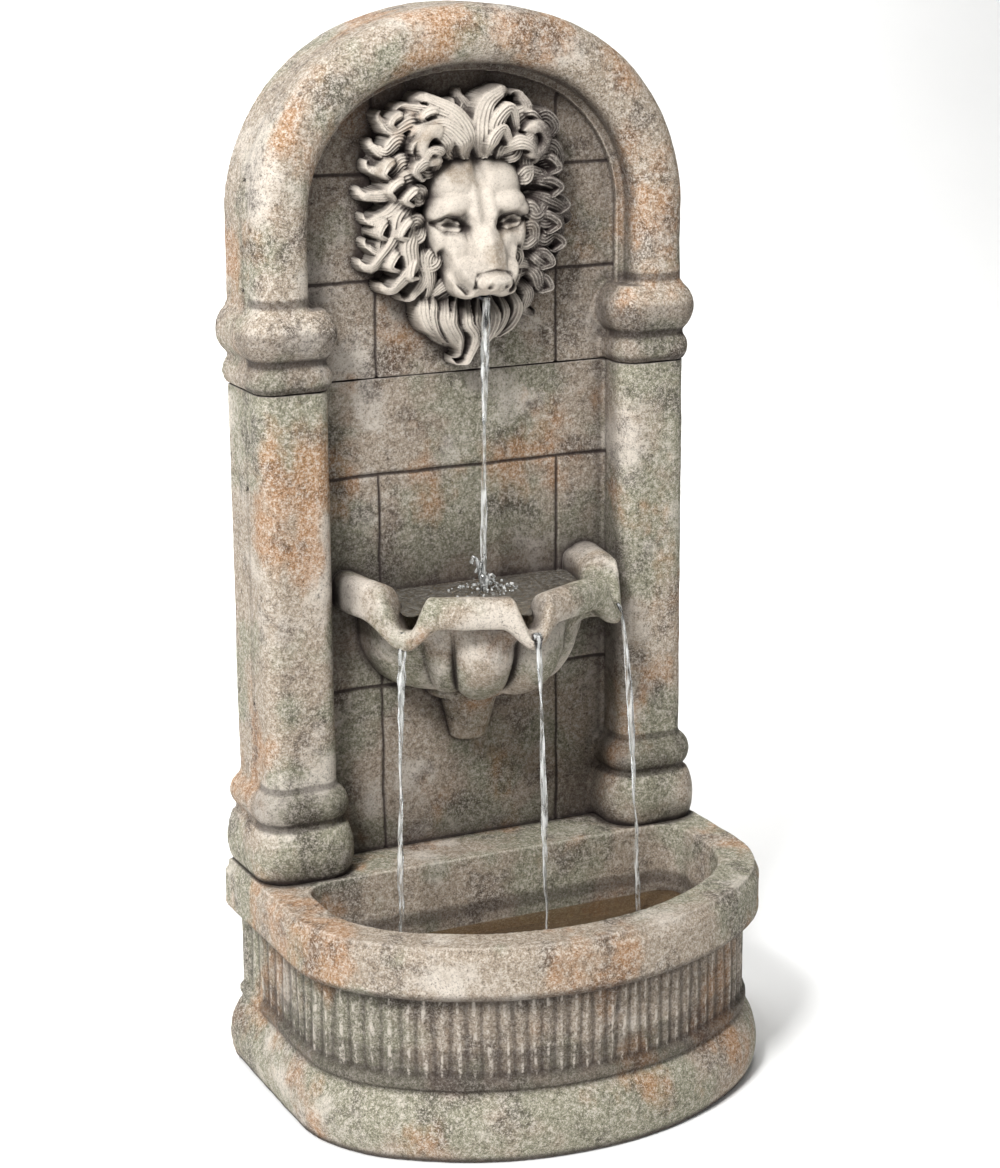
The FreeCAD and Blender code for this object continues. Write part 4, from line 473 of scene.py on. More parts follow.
class FOUNTAIN_OT_castings(bpy.types.Operator):
    """Give the basin, the sections and the corbel their uneven, stained skin, with painted shade in the
    recesses and under the mouldings
    """
    bl_idname = "fountain.castings"
    bl_label = "Stained castings"

    def execute(self, context):
        sizes = context.scene.fountain_sizes
        uneven = []
        for name, scale, depth, share in (("lumps", 0.045, 2, 1.0), ("pits", 0.009, 3, 0.35)):
            texture = bpy.data.textures.new(name, "CLOUDS")
            texture.noise_scale = scale
            texture.noise_depth = depth
            uneven.append((name, "DISPLACE", {
                "texture": texture, "texture_coords": "GLOBAL", "mid_level": 0.62,
                "strength": sizes.unevenness * share}))
        joints = cut_lines("panel_joints", "joints", sizes.joint_width)
        flutes = cut_lines("waist_flutes", "flutes", sizes.flute_height)
        # node, share of the grain, lines cut in it, material with its bands of dark wash and painted shade on
        # and between the mouldings
        for node, share, lines, material in (
                ("basin", 1.0, flutes, stained_and_shaded_resin(
                    "cast_resin_basin", warmth=0.8, green=0.65, pale=0.4, fluted=True,
                    wash_and_shade_bands=((0.066, 0.080, 0.6), (0.080, 0.100, 0.4), (0.084, 0.154, 0.25),
                            (0.150, 0.158, 0.5)))),
                ("column_section", 1.0, joints, stained_and_shaded_resin(
                    "cast_resin_columns", warmth=0.65, green=0.7, pale=0.5, jointed=True,
                    wash_and_shade_bands=((0.205, 0.208, 0.5), (0.256, 0.260, 0.6), (0.262, 0.286, 0.35),
                            (0.290, 0.293, 0.6)))),
                ("arch_section", 1.0, joints, stained_and_shaded_resin(
                    "cast_resin_arch", warmth=0.85, green=0.45, pale=0.5, speckle=1.15, jointed=True,
                    wash_and_shade_bands=((0.660, 0.664, 0.6), (0.664, 0.682, 0.3), (0.685, 0.689, 0.75),
                            (0.689, 0.712, 0.35), (0.738, 0.742, 0.6)))),
                ("bowl_bracket", 0.7, None, stained_and_shaded_resin(
                    "cast_resin_corbel", warmth=0.8, green=0.6, pale=0.7, wash_and_shade_reach=0.05))):
            piece = dress(node, material)
            add_modifiers(piece, [
                ("skin", "REMESH", {"mode": "VOXEL", "voxel_size": sizes.casting_grain * share,
                                    "use_smooth_shade": True}),
                ("soften", "SMOOTH", {"factor": 0.4, "iterations": 1}),
                *uneven])
            if lines:
                add_modifiers(piece, [("lines", "NODES", {"node_group": lines})])
        return {"FINISHED"}


# Lion's head

# Hair, a row for each lock: X and Z of four marks in millimetres, breadth, depth at root and at tip
LEFT_LOCKS = (
    (-8, 861, -12, 882, -23, 900, -46, 913, 18, 40, 18),
    (-19, 863, -24, 886, -44, 899, -66, 905, 16, 38, 14),
    (-13, 861, -19, 877, -36, 890, -58, 886, 15, 44, 26),
    (-28, 862, -34, 876, -47, 884, -62, 872, 12, 42, 30),
    (-36, 858, -40, 867, -50, 868, -56, 858, 9, 42, 36),
    (-46, 850, -54, 856, -63, 850, -57, 843, 11, 38, 34),
    (-44, 888, -62, 894, -80, 887, -88, 896, 15, 26, 12),
    (-60, 870, -74, 876, -86, 866, -95, 872, 15, 24, 12),
    (-54, 856, -72, 858, -84, 848, -98, 852, 14, 28, 12),
    (-52, 845, -70, 842, -86, 830, -103, 828, 16, 34, 12),
    (-54, 834, -70, 828, -84, 812, -98, 806, 16, 34, 12),
    (-58, 822, -74, 808, -80, 788, -96, 766, 18, 34, 14),
    (-66, 808, -86, 798, -92, 780, -101, 784, 13, 22, 10),
    (-56, 804, -68, 786, -66, 764, -80, 745, 18, 34, 22),
    (-52, 792, -56, 770, -52, 752, -62, 736, 13, 30, 16),
)
RIGHT_LOCKS = (
    (5, 861, 2, 884, 9, 906, 27, 917, 18, 41, 18),
    (15, 863, 15, 888, 29, 901, 36, 884, 15, 42, 30),
    (30, 870, 38, 890, 52, 900, 48, 912, 14, 30, 14),
    (10, 860, 10, 874, 20, 884, 28, 874, 12, 44, 36),
    (38, 862, 44, 872, 52, 876, 58, 866, 10, 40, 32),
    (60, 842, 72, 846, 84, 842, 92, 848, 13, 26, 10),
    (24, 862, 36, 872, 50, 868, 58, 857, 13, 42, 32),
    (58, 884, 72, 892, 82, 882, 76, 872, 14, 20, 12),
    (66, 868, 82, 866, 90, 852, 84, 844, 13, 18, 10),
    (50, 850, 62, 860, 75, 860, 74, 847, 14, 34, 20),
    (53, 838, 66, 838, 80, 830, 88, 816, 15, 32, 12),
    (55, 822, 70, 816, 84, 810, 97, 800, 15, 32, 12),
    (55, 806, 68, 798, 84, 800, 92, 786, 14, 30, 12),
    (54, 792, 66, 780, 80, 784, 86, 770, 14, 30, 12),
    (50, 776, 62, 766, 72, 760, 82, 764, 15, 30, 12),
    (48, 762, 60, 750, 66, 738, 78, 738, 13, 28, 12),
    (46, 748, 54, 732, 50, 718, 60, 712, 12, 26, 12),
)
SMALL_CURLS = (
    (-72, 856, -84, 858, -92, 849, -84, 842, 12, 34, 26),
    (-66, 838, -78, 842, -88, 834, -82, 826, 12, 40, 30),
    (-58, 828, -66, 834, -76, 826, -68, 820, 12, 44, 36),
    (-78, 806, -90, 806, -96, 795, -87, 790, 12, 30, 24),
    (-62, 810, -72, 806, -80, 794, -70, 790, 12, 42, 32),
    (-68, 780, -80, 778, -87, 766, -77, 761, 13, 32, 26),
    (-56, 776, -66, 770, -70, 756, -61, 754, 12, 38, 30),
    (-62, 892, -73, 899, -82, 892, -76, 885, 11, 28, 22),
    (-30, 894, -42, 902, -54, 897, -48, 889, 12, 36, 26),
    (60, 856, 72, 856, 80, 846, 72, 841, 12, 38, 30),
    (58, 832, 70, 836, 82, 829, 75, 821, 12, 38, 30),
    (72, 816, 84, 820, 93, 811, 85, 804, 12, 28, 22),
    (58, 802, 70, 804, 80, 795, 72, 788, 12, 36, 28),
    (66, 784, 78, 786, 88, 777, 80, 770, 12, 28, 22),
    (54, 770, 66, 770, 74, 760, 66, 755, 12, 34, 26),
    (60, 748, 70, 746, 76, 736, 68, 732, 11, 28, 20),
    (40, 892, 52, 896, 60, 888, 52, 882, 11, 36, 28),
)
BEARD_LOCKS = (
    (-46, 744, -52, 724, -48, 708, -38, 700, 12, 26, 14),
    (-37, 740, -42, 722, -37, 705, -26, 693, 12, 30, 14),
    (-27, 736, -33, 716, -26, 700, -15, 687, 12, 32, 15),
    (-17, 732, -24, 713, -15, 696, -12, 680, 12, 34, 16),
    (-7, 731, -12, 711, -3, 696, -8, 674, 12, 36, 18),
    (4, 731, -1, 712, 7, 698, 0, 682, 12, 36, 17),
    (15, 732, 17, 713, 12, 698, 5, 686, 12, 34, 16),
    (26, 735, 29, 716, 24, 701, 14, 690, 12, 32, 15),
    (36, 740, 41, 720, 36, 705, 26, 695, 12, 28, 14),
)


class Carving:
    """Collects the head's forms; X across, Z up and depth forward of the panel, in millimetres."""

    def __init__(self):
        self.bm = bmesh.new()

    def at(self, x, z, depth):
        return Vector((x, PANEL_Y / MM - depth, z))

    def form(self, x, z, depth, wide, tall, deep, tilt=0.0):
        turn = Matrix.Rotation(math.radians(tilt), 3, "Y")
        ball(self.bm, self.at(x, z, depth), (wide, deep, tall), turn)

    def pair(self, x, z, depth, wide, tall, deep, tilt=0.0):
        self.form(x, z, depth, wide, tall, deep, tilt)
        self.form(-x, z, depth, wide, tall, deep, -tilt)


class Relief:
    """Depths of the mane forward of the panel, on a fine grid of X and Z, in millimetres."""

    def __init__(self, low, high, pitch):
        self.low, self.pitch = low, pitch
        self.columns = int((high[0] - low[0]) / pitch) + 1
        self.rows = int((high[1] - low[1]) / pitch) + 1
        self.depths = [[-1.0] * self.columns for _ in range(self.rows)]

    def spots(self, x0, z0, x1, z1):
        """Row, column, X and Z of each grid point in a box."""
        first, last = max(0, int((x0 - self.low[0]) / self.pitch)), int((x1 - self.low[0]) / self.pitch) + 1
        for row in range(max(0, int((z0 - self.low[1]) / self.pitch)),
                         min(self.rows - 1, int((z1 - self.low[1]) / self.pitch) + 1) + 1):
            for column in range(first, min(self.columns - 1, last) + 1):
                yield row, column, self.low[0] + column * self.pitch, self.low[1] + row * self.pitch

    def lift(self, row, column, depth):
        self.depths[row][column] = max(self.depths[row][column], depth)

    def bed(self, x, z, wide, tall, deep, combed):
        """Low dome combed with fine grooves that run outward."""
        for row, column, px, pz in self.spots(x - wide, z - tall, x + wide, z + tall):
            reach = math.hypot((px - x) / wide, (pz - z) / tall)
            if reach < 1:
                comb = abs(math.sin(combed * math.atan2(pz - z, px - x) + 5 * math.sin(4 * reach)))
                self.lift(row, column, 1 + deep * math.sqrt(1 - reach * reach) + 2.0 * comb)

    def ear(self, x, z, wide, tall, depth, thick, side):
        """Hollow ear with a rolled rim, open towards the face."""
        for row, column, px, pz in self.spots(x - wide - thick, z - tall - thick,
                                              x + wide + thick, z + tall + thick):
            reach = math.hypot((px - x) / wide, (pz - z) / tall)
            turn = math.atan2(pz - z, (px - x) * side)
            if reach < 1:
                self.depths[row][column] = min(self.depths[row][column], depth - 24 + 12 * reach ** 3)
            off = abs(reach - 1) * min(wide, tall) / thick
            if off < 1 and -2.2 < turn < 2.6:
                rolled = thick * math.sqrt(1 - off * off) * smoothstep(2.6, 1.9, abs(turn))
                self.lift(row, column, depth + 3 * math.sin(turn) + rolled)

    def lock(self, marks, width, root, tip, strands, lean):
        """Lock of hair: a waving, tapering leaf of strands, sunk at the root and curled at the point."""
        line = [Vector(along_curve(marks, k / 18)) for k in range(19)]
        hook = (line[-1] - line[-2]).angle_signed(line[-4] - line[-6], 0.0)
        turn = Matrix.Rotation(math.copysign(math.radians(27), hook), 2)
        for _ in range(6):
            line.append(line[-1] + turn @ (line[-1] - line[-2]) * 0.88)
        count = len(line) - 1
        twist = marks[0][0] * 0.7 + marks[0][1]
        # each grid point keeps its nearest piece of the line: gap, share of the length, side
        nearest = {}
        span = width * 0.5 + 1
        for k in range(count):
            a, run = line[k], line[k + 1] - line[k]
            for row, column, px, pz in self.spots(min(a.x, a.x + run.x) - span, min(a.y, a.y + run.y) - span,
                                                  max(a.x, a.x + run.x) + span, max(a.y, a.y + run.y) + span):
                dx, dz = px - a.x, pz - a.y
                along = max(0.0, min(1.0, (dx * run.x + dz * run.y) / run.length_squared))
                gap = math.hypot(dx - run.x * along, dz - run.y * along)
                if gap < span and ((row, column) not in nearest or gap < nearest[row, column][0]):
                    nearest[row, column] = (gap, (k + along) / count, 1 if run.x * dz > run.y * dx else -1)
        for (row, column), (gap, share, side) in nearest.items():
            slim = smoothstep(-0.2, 0.3, share) * 1.12 * (1 - share) ** 0.5 * (1 - 0.25 * share)
            half = width * 0.5 * slim
            if gap >= half:
                continue
            u = gap / half * side
            wave = strands * (u + 1) / 2 + 0.4 * math.sin(4 * share + twist)
            ridge = abs(math.sin(math.pi * wave)) ** 0.8
            depth = root + (tip - root) * share + 7 * math.sin(math.pi * share)
            depth += -10 * (1 - smoothstep(0.0, 0.22, share)) + lean * width * u
            depth += width * 0.32 * slim * math.sqrt(1 - u * u) - (0.5 + 1.4 * slim) * (1 - ridge)
            self.lift(row, column, depth)

    def raised(self):
        """Mesh of the grid where it stands forward of the panel, closed by a flat back in the wall."""
        bm = bmesh.new()
        at = {}

        def corner(row, column):
            if (row, column) not in at:
                at[row, column] = bm.verts.new(Vector((
                    self.low[0] + column * self.pitch, PANEL_Y / MM - self.depths[row][column],
                    self.low[1] + row * self.pitch)) * MM)
            return at[row, column]

        for row in range(self.rows - 1):
            upper, lower = self.depths[row + 1], self.depths[row]
            for column in range(self.columns - 1):
                if max(upper[column], upper[column + 1], lower[column], lower[column + 1]) > 0:
                    bm.faces.new([corner(row, column), corner(row, column + 1), corner(row + 1, column + 1),
                                  corner(row + 1, column)])
        deepest = max(vert.co.y for vert in bm.verts) + 0.0005
        grown = bmesh.ops.extrude_edge_only(bm, edges=[edge for edge in bm.edges if edge.is_boundary])["geom"]
        for item in grown:
            if isinstance(item, bmesh.types.BMVert):
                item.co.y = deepest
        bmesh.ops.triangle_fill(bm, edges=[edge for edge in bm.edges if edge.is_boundary])
        bmesh.ops.recalc_face_normals(bm, faces=bm.faces)
        return bm


def along_curve(marks, share):
    """Point at a share of the smooth curve through four marks."""
    place = share * (len(marks) - 1)
    k = min(int(place), len(marks) - 2)
    a, b = marks[k], marks[k + 1]
    before = marks[k - 1] if k else (2 * a[0] - b[0], 2 * a[1] - b[1])
    after = marks[k + 2] if k + 2 < len(marks) else (2 * b[0] - a[0], 2 * b[1] - a[1])
    return spline(before, a, b, after, place - k)


def carve_head(carving):
    """Skull, brows, cheeks, muzzle and jowls; the face leans out from the hairline to the nose."""
    form, pair = carving.form, carving.pair
    form(0, 828, 6, 53, 46, 34)
    pair(22, 832, 14, 28, 31, 29)
    pair(26, 818, 28, 23, 14, 22)
    pair(30, 813, 29, 23, 13, 18, 8)
    pair(35, 790, 16, 17, 34, 31, 8)
    pair(22, 780, 28, 20, 32, 25)
    ridge = [(0, 838, 20), (0, 815, 31), (0.5, 792, 41), (1, 772, 51), (1, 756, 57)]
    tube(carving.bm, [carving.at(*spot) for spot in ridge], [20, 20, 18.5, 19, 17])
    pair(15, 757, 38, 21, 19, 29)
    form(0, 754, 46, 25, 18, 26)
    pair(19, 752, 30, 16, 19, 27, 14)
    pair(16, 744, 47, 15, 10, 16, 6)
    form(1, 751, 69, 18, 9.5, 10.5)
    form(0, 806, 6, 54, 70, 24)


def carve_mane(relief):
    """Bed of the mane, its layers of waving locks, the ears and the beard."""
    chance = random.Random(5)
    relief.bed(-2, 814, 80, 88, 13, 30)
    relief.bed(-4, 714, 40, 32, 12, 16)
    # two rings of loose locks from ear to ear: inner reach, count, breadth, depth at root and tip
    for reach, count, width, root, tip in ((54, 27, 21, 19, 4), (45, 23, 18, 31, 15)):
        for k in range(count):
            turn = math.radians(-62 + 304 * k / (count - 1))
            bend = (-1) ** k * chance.uniform(7, 13)
            length = chance.uniform(32, 42)
            veer = chance.uniform(-0.45, 0.45)
            marks = []
            for part in (0.0, 0.34, 0.67, 1.0):
                far = reach + part * length
                swing = bend * math.sin(part * math.pi * 1.6) + veer * part * length
                marks.append((-3 + far * math.cos(turn) - swing * math.sin(turn),
                              813 + far * 1.04 * math.sin(turn) + swing * math.cos(turn)))
            relief.lock(marks, width, root, tip, 5, 0.14 * (-1) ** k)
    for x, z, wide, tall, side in ((-46, 872, 10, 13, -1), (55, 873, 10, 12, 1)):
        relief.ear(x, z, wide, tall, 42, 5.0, side)
    # table, share of the breadth, how much the root is sunk and every other tip lowered, strands,
    # lean, and -1 where locks lean by turns
    for table, broad, rise, drop, strands, lean, swap in (
            (LEFT_LOCKS + RIGHT_LOCKS, 1.25, 0, 0, 5, 0.12, -1),
            (SMALL_CURLS, 0.72, 1, 0, 2, 0.15, 1),
            (BEARD_LOCKS, 1.0, 0, 4, 3, 0.22, -1)):
        for k, (*spots, width, root, tip) in enumerate(table):
            marks = list(zip(spots[::2], spots[1::2]))
            relief.lock(marks, width * broad, root - rise, tip + 2 * rise - drop * (k % 2), strands,
                        lean * swap ** k)


def path_gap(x, z, path):
    """Distance from a point to a line of marks."""
    best = 1e9
    for (ax, az), (bx, bz) in zip(path, path[1:]):
        dx, dz = bx - ax, bz - az
        share = max(0.0, min(1.0, ((x - ax) * dx + (z - az) * dz) / (dx * dx + dz * dz)))
        best = min(best, math.hypot(x - ax - dx * share, z - az - dz * share))
    return best


# Broad hollows of each side of the face: push, X and its width, Z and its width
FACE_HOLLOWS = ((-10.5, 30, 14.0, 801, 8.5), (-5.0, 15, 5.0, 797, 9.0), (-3.0, 30, 9.0, 780, 12.0))
# Lines worked into the face: push, width, marks
UPPER_LID = ((14, 797), (22, 806), (34, 809), (46, 803))
EYE_LINES = (
    (4.0, 5.0, ((23, 803), (38, 804))),
    (2.5, 3.5, ((25, 797), (37, 798))),
    (-2.2, 1.2, ((17, 798), (26, 800.5), (36, 801), (44, 802))),
    (-4.0, 1.8, UPPER_LID),
    (1.8, 2.4, tuple((x, z + 4) for x, z in UPPER_LID)),
    (-2.4, 1.5, ((14, 797), (24, 793), (36, 794), (46, 803))),
    (1.4, 4.5, ((9, 806), (20, 813), (34, 815), (48, 808))),
)
JOWL_FOLD = ((38, 776), (35, 765), (30, 753), (21, 742))
JOWL_LINES = ((-8.0, 3.2, JOWL_FOLD), (3.0, 4.0, tuple((x - 7, z) for x, z in JOWL_FOLD)))
NOSE_LINES = (
    (-3.0, 2.0, ((-15, 748), (-14, 757), (1, 761), (16, 757), (17, 748))),
    (3.0, 6.0, ((-8, 752), (10, 752))),
)


def worked(x, z, lines):
    return sum(push * hump(path_gap(x, z, path), 0, width) for push, width, path in lines)


def sculpt_skin(bm):
    """Work furrow, eyes, nostrils, lips and jowls into the smoothed skin."""
    for vert in bm.verts:
        x, y, z = (c / MM for c in vert.co)
        depth = PANEL_Y / MM - y
        # the back of the head is cut flat, just inside the panel, and its sides stay as they are
        if depth < -1:
            vert.co.y = PANEL_Y + 1 * MM
            continue
        if depth < 22:
            continue
        side = abs(x)
        push = -5.0 * hump(x, 0.5, 4.8) * smoothstep(796, 806, z) * smoothstep(876, 862, z)
        push += 2.2 * hump(side, 11, 6) * smoothstep(800, 812, z) * smoothstep(866, 852, z)
        for deep, x0, wide, z0, tall in FACE_HOLLOWS:
            push += deep * hump(side, x0, wide) * hump(z, z0, tall)
        if 780 < z < 825 and side < 52:
            push += worked(side, z, EYE_LINES)
        if 730 < z < 790 and side > 18:
            push += worked(side, z, JOWL_LINES)
        if side < 26 and 736 < z < 770 and depth > 58:
            push += worked(x, z, NOSE_LINES)
        # nostrils, the groove under the nose and the lips
        push += -5.5 * hump(abs(x - 1), 8.0, 2.8) * hump(z, 748, 2.6)
        push += -2.6 * hump(x, 1, 1.3) * smoothstep(734, 739, z) * smoothstep(752, 746, z)
        push += -3.0 * hump(z, 735 + 0.04 * side, 1.6) * smoothstep(30, 22, side)
        vert.co.y -= push * MM


class FOUNTAIN_OT_lion_head(bpy.types.Operator):
    """Carve the lion's head with its mane, and put it in place of the plain mask"""
    bl_idname = "fountain.lion_head"
    bl_label = "Lion head"

    def execute(self, context):
        grain = context.scene.fountain_sizes.carving_grain
        carving = Carving()
        carve_head(carving)
        face = modified(carving.bm, ("skin", "REMESH", {"mode": "VOXEL", "voxel_size": grain}),
                        ("soften", "SMOOTH", {"factor": 0.6, "iterations": 6}))
        sculpt_skin(face)
        relief = Relief((-112, 670), (106, 926), grain / MM * 0.5)
        carve_mane(relief)
        locks = modified(relief.raised(), ("soften", "SMOOTH", {"factor": 0.35, "iterations": 2}))
        mesh = bpy.data.meshes.new("locks")
        locks.to_mesh(mesh)
        locks.free()
        face.from_mesh(mesh)
        bpy.data.meshes.remove(mesh)
        material = stained_and_shaded_resin("cast_resin_lion", warmth=0.1, green=-0.6, pale=1.6, speckle=0.45,
                                      grime=0.35, wash_and_shade_reach=0.035, right_side_shade=True)
        piece = finish_mesh("lion_head", face, material)
        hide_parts("lion_mask")
        return {"FINISHED"}


# Bowl

SPOUT_TURNS = (-138.0, -90.0, -42.0)
# Heights in millimetres: lip at a spout, crest of a front and of an end petal, hem, floor inside
LIP_Z, CREST_Z, END_CREST_Z, HEM_Z, FLOOR_Z = 447.0, 477.0, 484.0, 432.0, 379


def spout_share(turn):
    """Where a turn lies between its neighbouring spouts, 0 to 1, and whether the petal meets the panel."""
    marks = [-180.0, *SPOUT_TURNS, 0.0]
    k = next(k for k in range(4) if turn <= marks[k + 1])
    share = (turn - marks[k]) / (marks[k + 1] - marks[k])
    if k == 0:
        return 0.5 + share * 0.5, True
    if k == 3:
        return share * 0.5, True
    return share, False


def bowl_point(turn, v):
    """Point of the bowl's skin: v runs from the foot up outside, round the folded lip and down inside."""
    share, ends = spout_share(turn)
    near = min(share, 1 - share)
    top = LIP_Z + ((END_CREST_Z if ends else CREST_Z) - LIP_Z) * smoothstep(0.02, 0.17, near)
    hem = HEM_Z + 17.0 * smoothstep(0.0, 0.26, near) - 3.0 * (1 - smoothstep(0.02, 0.2, near))
    rim = 151 * math.cos(math.radians(24)) / math.cos(math.radians(24 * (2 * share - 1)))
    # an end petal has one lobe; a front petal has a small one and, towards the middle spout, a big one
    inward = share if turn < SPOUT_TURNS[1] else 1 - share
    tongue = 0.0
    if ends:
        full = 13 * math.sin(math.pi * share) ** 0.6
    elif inward > 0.33:
        tongue = math.sin(math.pi * (inward - 0.33) / 0.67) ** 0.65
        full = 23 * tongue
    else:
        full = 13 * math.sin(math.pi * inward / 0.33) ** 0.6
    outline = [
        (44, 367), (62 + full * 0.55, 369 - 5 * tongue), (80 + full * 0.9, 377), (93 + full, 393),
        (103 + full * 0.9, 411), (110 + full * 0.55, 428), (rim - 17, hem + 5), (rim - 6, hem),
        (rim + 3, hem + 1), (rim + 6.5, hem + 9), (rim + 5, top - 8), (rim, top - 1.5), (rim - 8, top),
        (rim - 18, top - 3), (rim - 30, top - 14), (109, 428), (94, 402), (60, 386), (8, FLOOR_Z),
    ]
    place = v * (len(outline) - 1)
    k = min(int(place), len(outline) - 2)
    r, z = spline(outline[max(k - 1, 0)], outline[k], outline[k + 1], outline[min(k + 2, len(outline) - 1)],
                  place - k)
    angle = math.radians(turn)
    x, y = r * 0.95 * math.cos(angle), r * math.sin(angle)
    wander = noise.noise(Vector((x, PANEL_Y / MM + y, z)) * 0.045)
    grown = 1.0 + 0.006 * wander
    return Vector((x * grown, PANEL_Y / MM + y * grown, z + 1.2 * wander)) * MM


class FOUNTAIN_OT_petal_bowl(bpy.types.Operator):
    """Model the petalled bowl with its folded lips and spouts"""
    bl_idname = "fountain.petal_bowl"
    bl_label = "Petalled bowl"

    def execute(self, context):
        bm = bmesh.new()
        across, along = 320, 110
        grid = [[bm.verts.new(bowl_point(-180.0 + 180.0 * j / across, k / along)) for k in range(along + 1)]
                for j in range(across + 1)]
        for a, b in zip(grid, grid[1:]):
            for k in range(along):
                bm.faces.new((a[k], a[k + 1], b[k + 1], b[k]))
        under = bm.verts.new(Vector((0, PANEL_Y, BOWL_FOOT_Z)))
        floor = bm.verts.new(Vector((0, PANEL_Y, FLOOR_Z * MM)))
        for a, b in zip(grid, grid[1:]):
            bm.faces.new((under, a[0], b[0]))
            bm.faces.new((floor, b[-1], a[-1]))
        bm.faces.new([under] + grid[0] + [floor])
        bm.faces.new([floor] + list(reversed(grid[-1])) + [under])
        material = stained_and_shaded_resin("cast_resin_bowl", warmth=0.2, green=0.6, pale=0.8, speckle=0.9,
                                      grime=0.6, wash_and_shade_reach=0.06)
        piece = finish_mesh("petal_bowl", bm, material)
        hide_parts("scallop_bowl")
        return {"FINISHED"}


# Water

# Where the jet leaves the lion's mouth and where it lands in the bowl: X and Y
JET_TOP = (0.0, 0.070)
JET_FOOT = (0.0, 0.083)
SPILLS = (
    # top of each spill: X, Y and Z; where it meets the pool: X and Y
    ((-0.106, 0.026, 0.446), (-0.122, 0.008)),
    ((0.0, -0.029, 0.446), (0.0, -0.048)),
    ((0.113, 0.030, 0.446), (0.128, 0.012)),
)
# A stream goes this far under the surface it falls on
SUNK = 0.002


def ripple(x, y, centre, pitch, height):
    far = math.hypot(x - centre[0], y - centre[1])
    return height * math.sin(far / pitch * 2 * math.pi) * math.exp(-far / (pitch * 5))


class FOUNTAIN_OT_still_water(bpy.types.Operator):
    """Fill the basin and the bowl with rippled water"""
    bl_idname = "fountain.still_water"
    bl_label = "Water in basin and bowl"

    def execute(self, context):
        sizes, tint = context.scene.fountain_sizes, context.scene.fountain_colours.water
        self.pool(sizes.pool_level, running_water("standing_water", tint, silt=0.3))
        self.bowl(sizes.bowl_level, running_water("bowl_water", tint, foam=0.09, silt=0.4, mud="#6f675b"))
        return {"FINISHED"}

    def sheet(self, name, outline, level, waves, water):
        """Rippled sheet of water inside an outline."""
        bm = bmesh.new()
        inner = [Vector((x, y, level)) for x, y in outline]
        middle = sum(inner, Vector()) / len(inner)
        rings = 44
        grid = []
        for j in range(rings + 1):
            ring = []
            for point in inner:
                spot = middle.lerp(point, max(1 - j / rings, 0.004))
                spot.z = level + sum(ripple(spot.x, spot.y, *wave) for wave in waves)
                spot.z += 0.0006 * noise.noise(Vector((spot.x, spot.y, 0)) * 60)
                ring.append(bm.verts.new(spot))
            grid.append(ring)
        bridge(bm, grid, capped=False)
        finish_mesh(name, bm, water)

    def pool(self, level, water):
        """Water up to the basin's rounded inside."""
        half, back, front = 0.190, 0.058, -0.127
        outline = [(-half + 0.01, back), (half - 0.01, back), (half, back - 0.012)]
        steps = 48
        for k in range(steps + 1):
            turn = math.pi * k / steps
            outline.append((half * math.copysign(abs(math.cos(turn)) ** 0.82, math.cos(turn)),
                            front * abs(math.sin(turn)) ** 0.86))
        outline.append((-half, back - 0.012))
        self.sheet("pool_surface", outline, level, [(foot, 0.016, 0.0016) for _, foot in SPILLS], water)

    def bowl(self, level, water):
        """Water up to the bowl's inside, and out to the spouts."""
        outline = []
        steps = 96
        for k in range(steps + 1):
            turn = -180.0 + 180.0 * k / steps
            share, _ = spout_share(turn)
            reach = 0.120 + 0.018 * (1 - smoothstep(0.0, 0.13, min(share, 1 - share)))
            outline.append((reach * 0.965 * math.cos(math.radians(turn)),
                            PANEL_Y + reach * math.sin(math.radians(turn))))
        self.sheet("bowl_surface", outline, level, [(JET_FOOT, 0.013, 0.0013)], water)


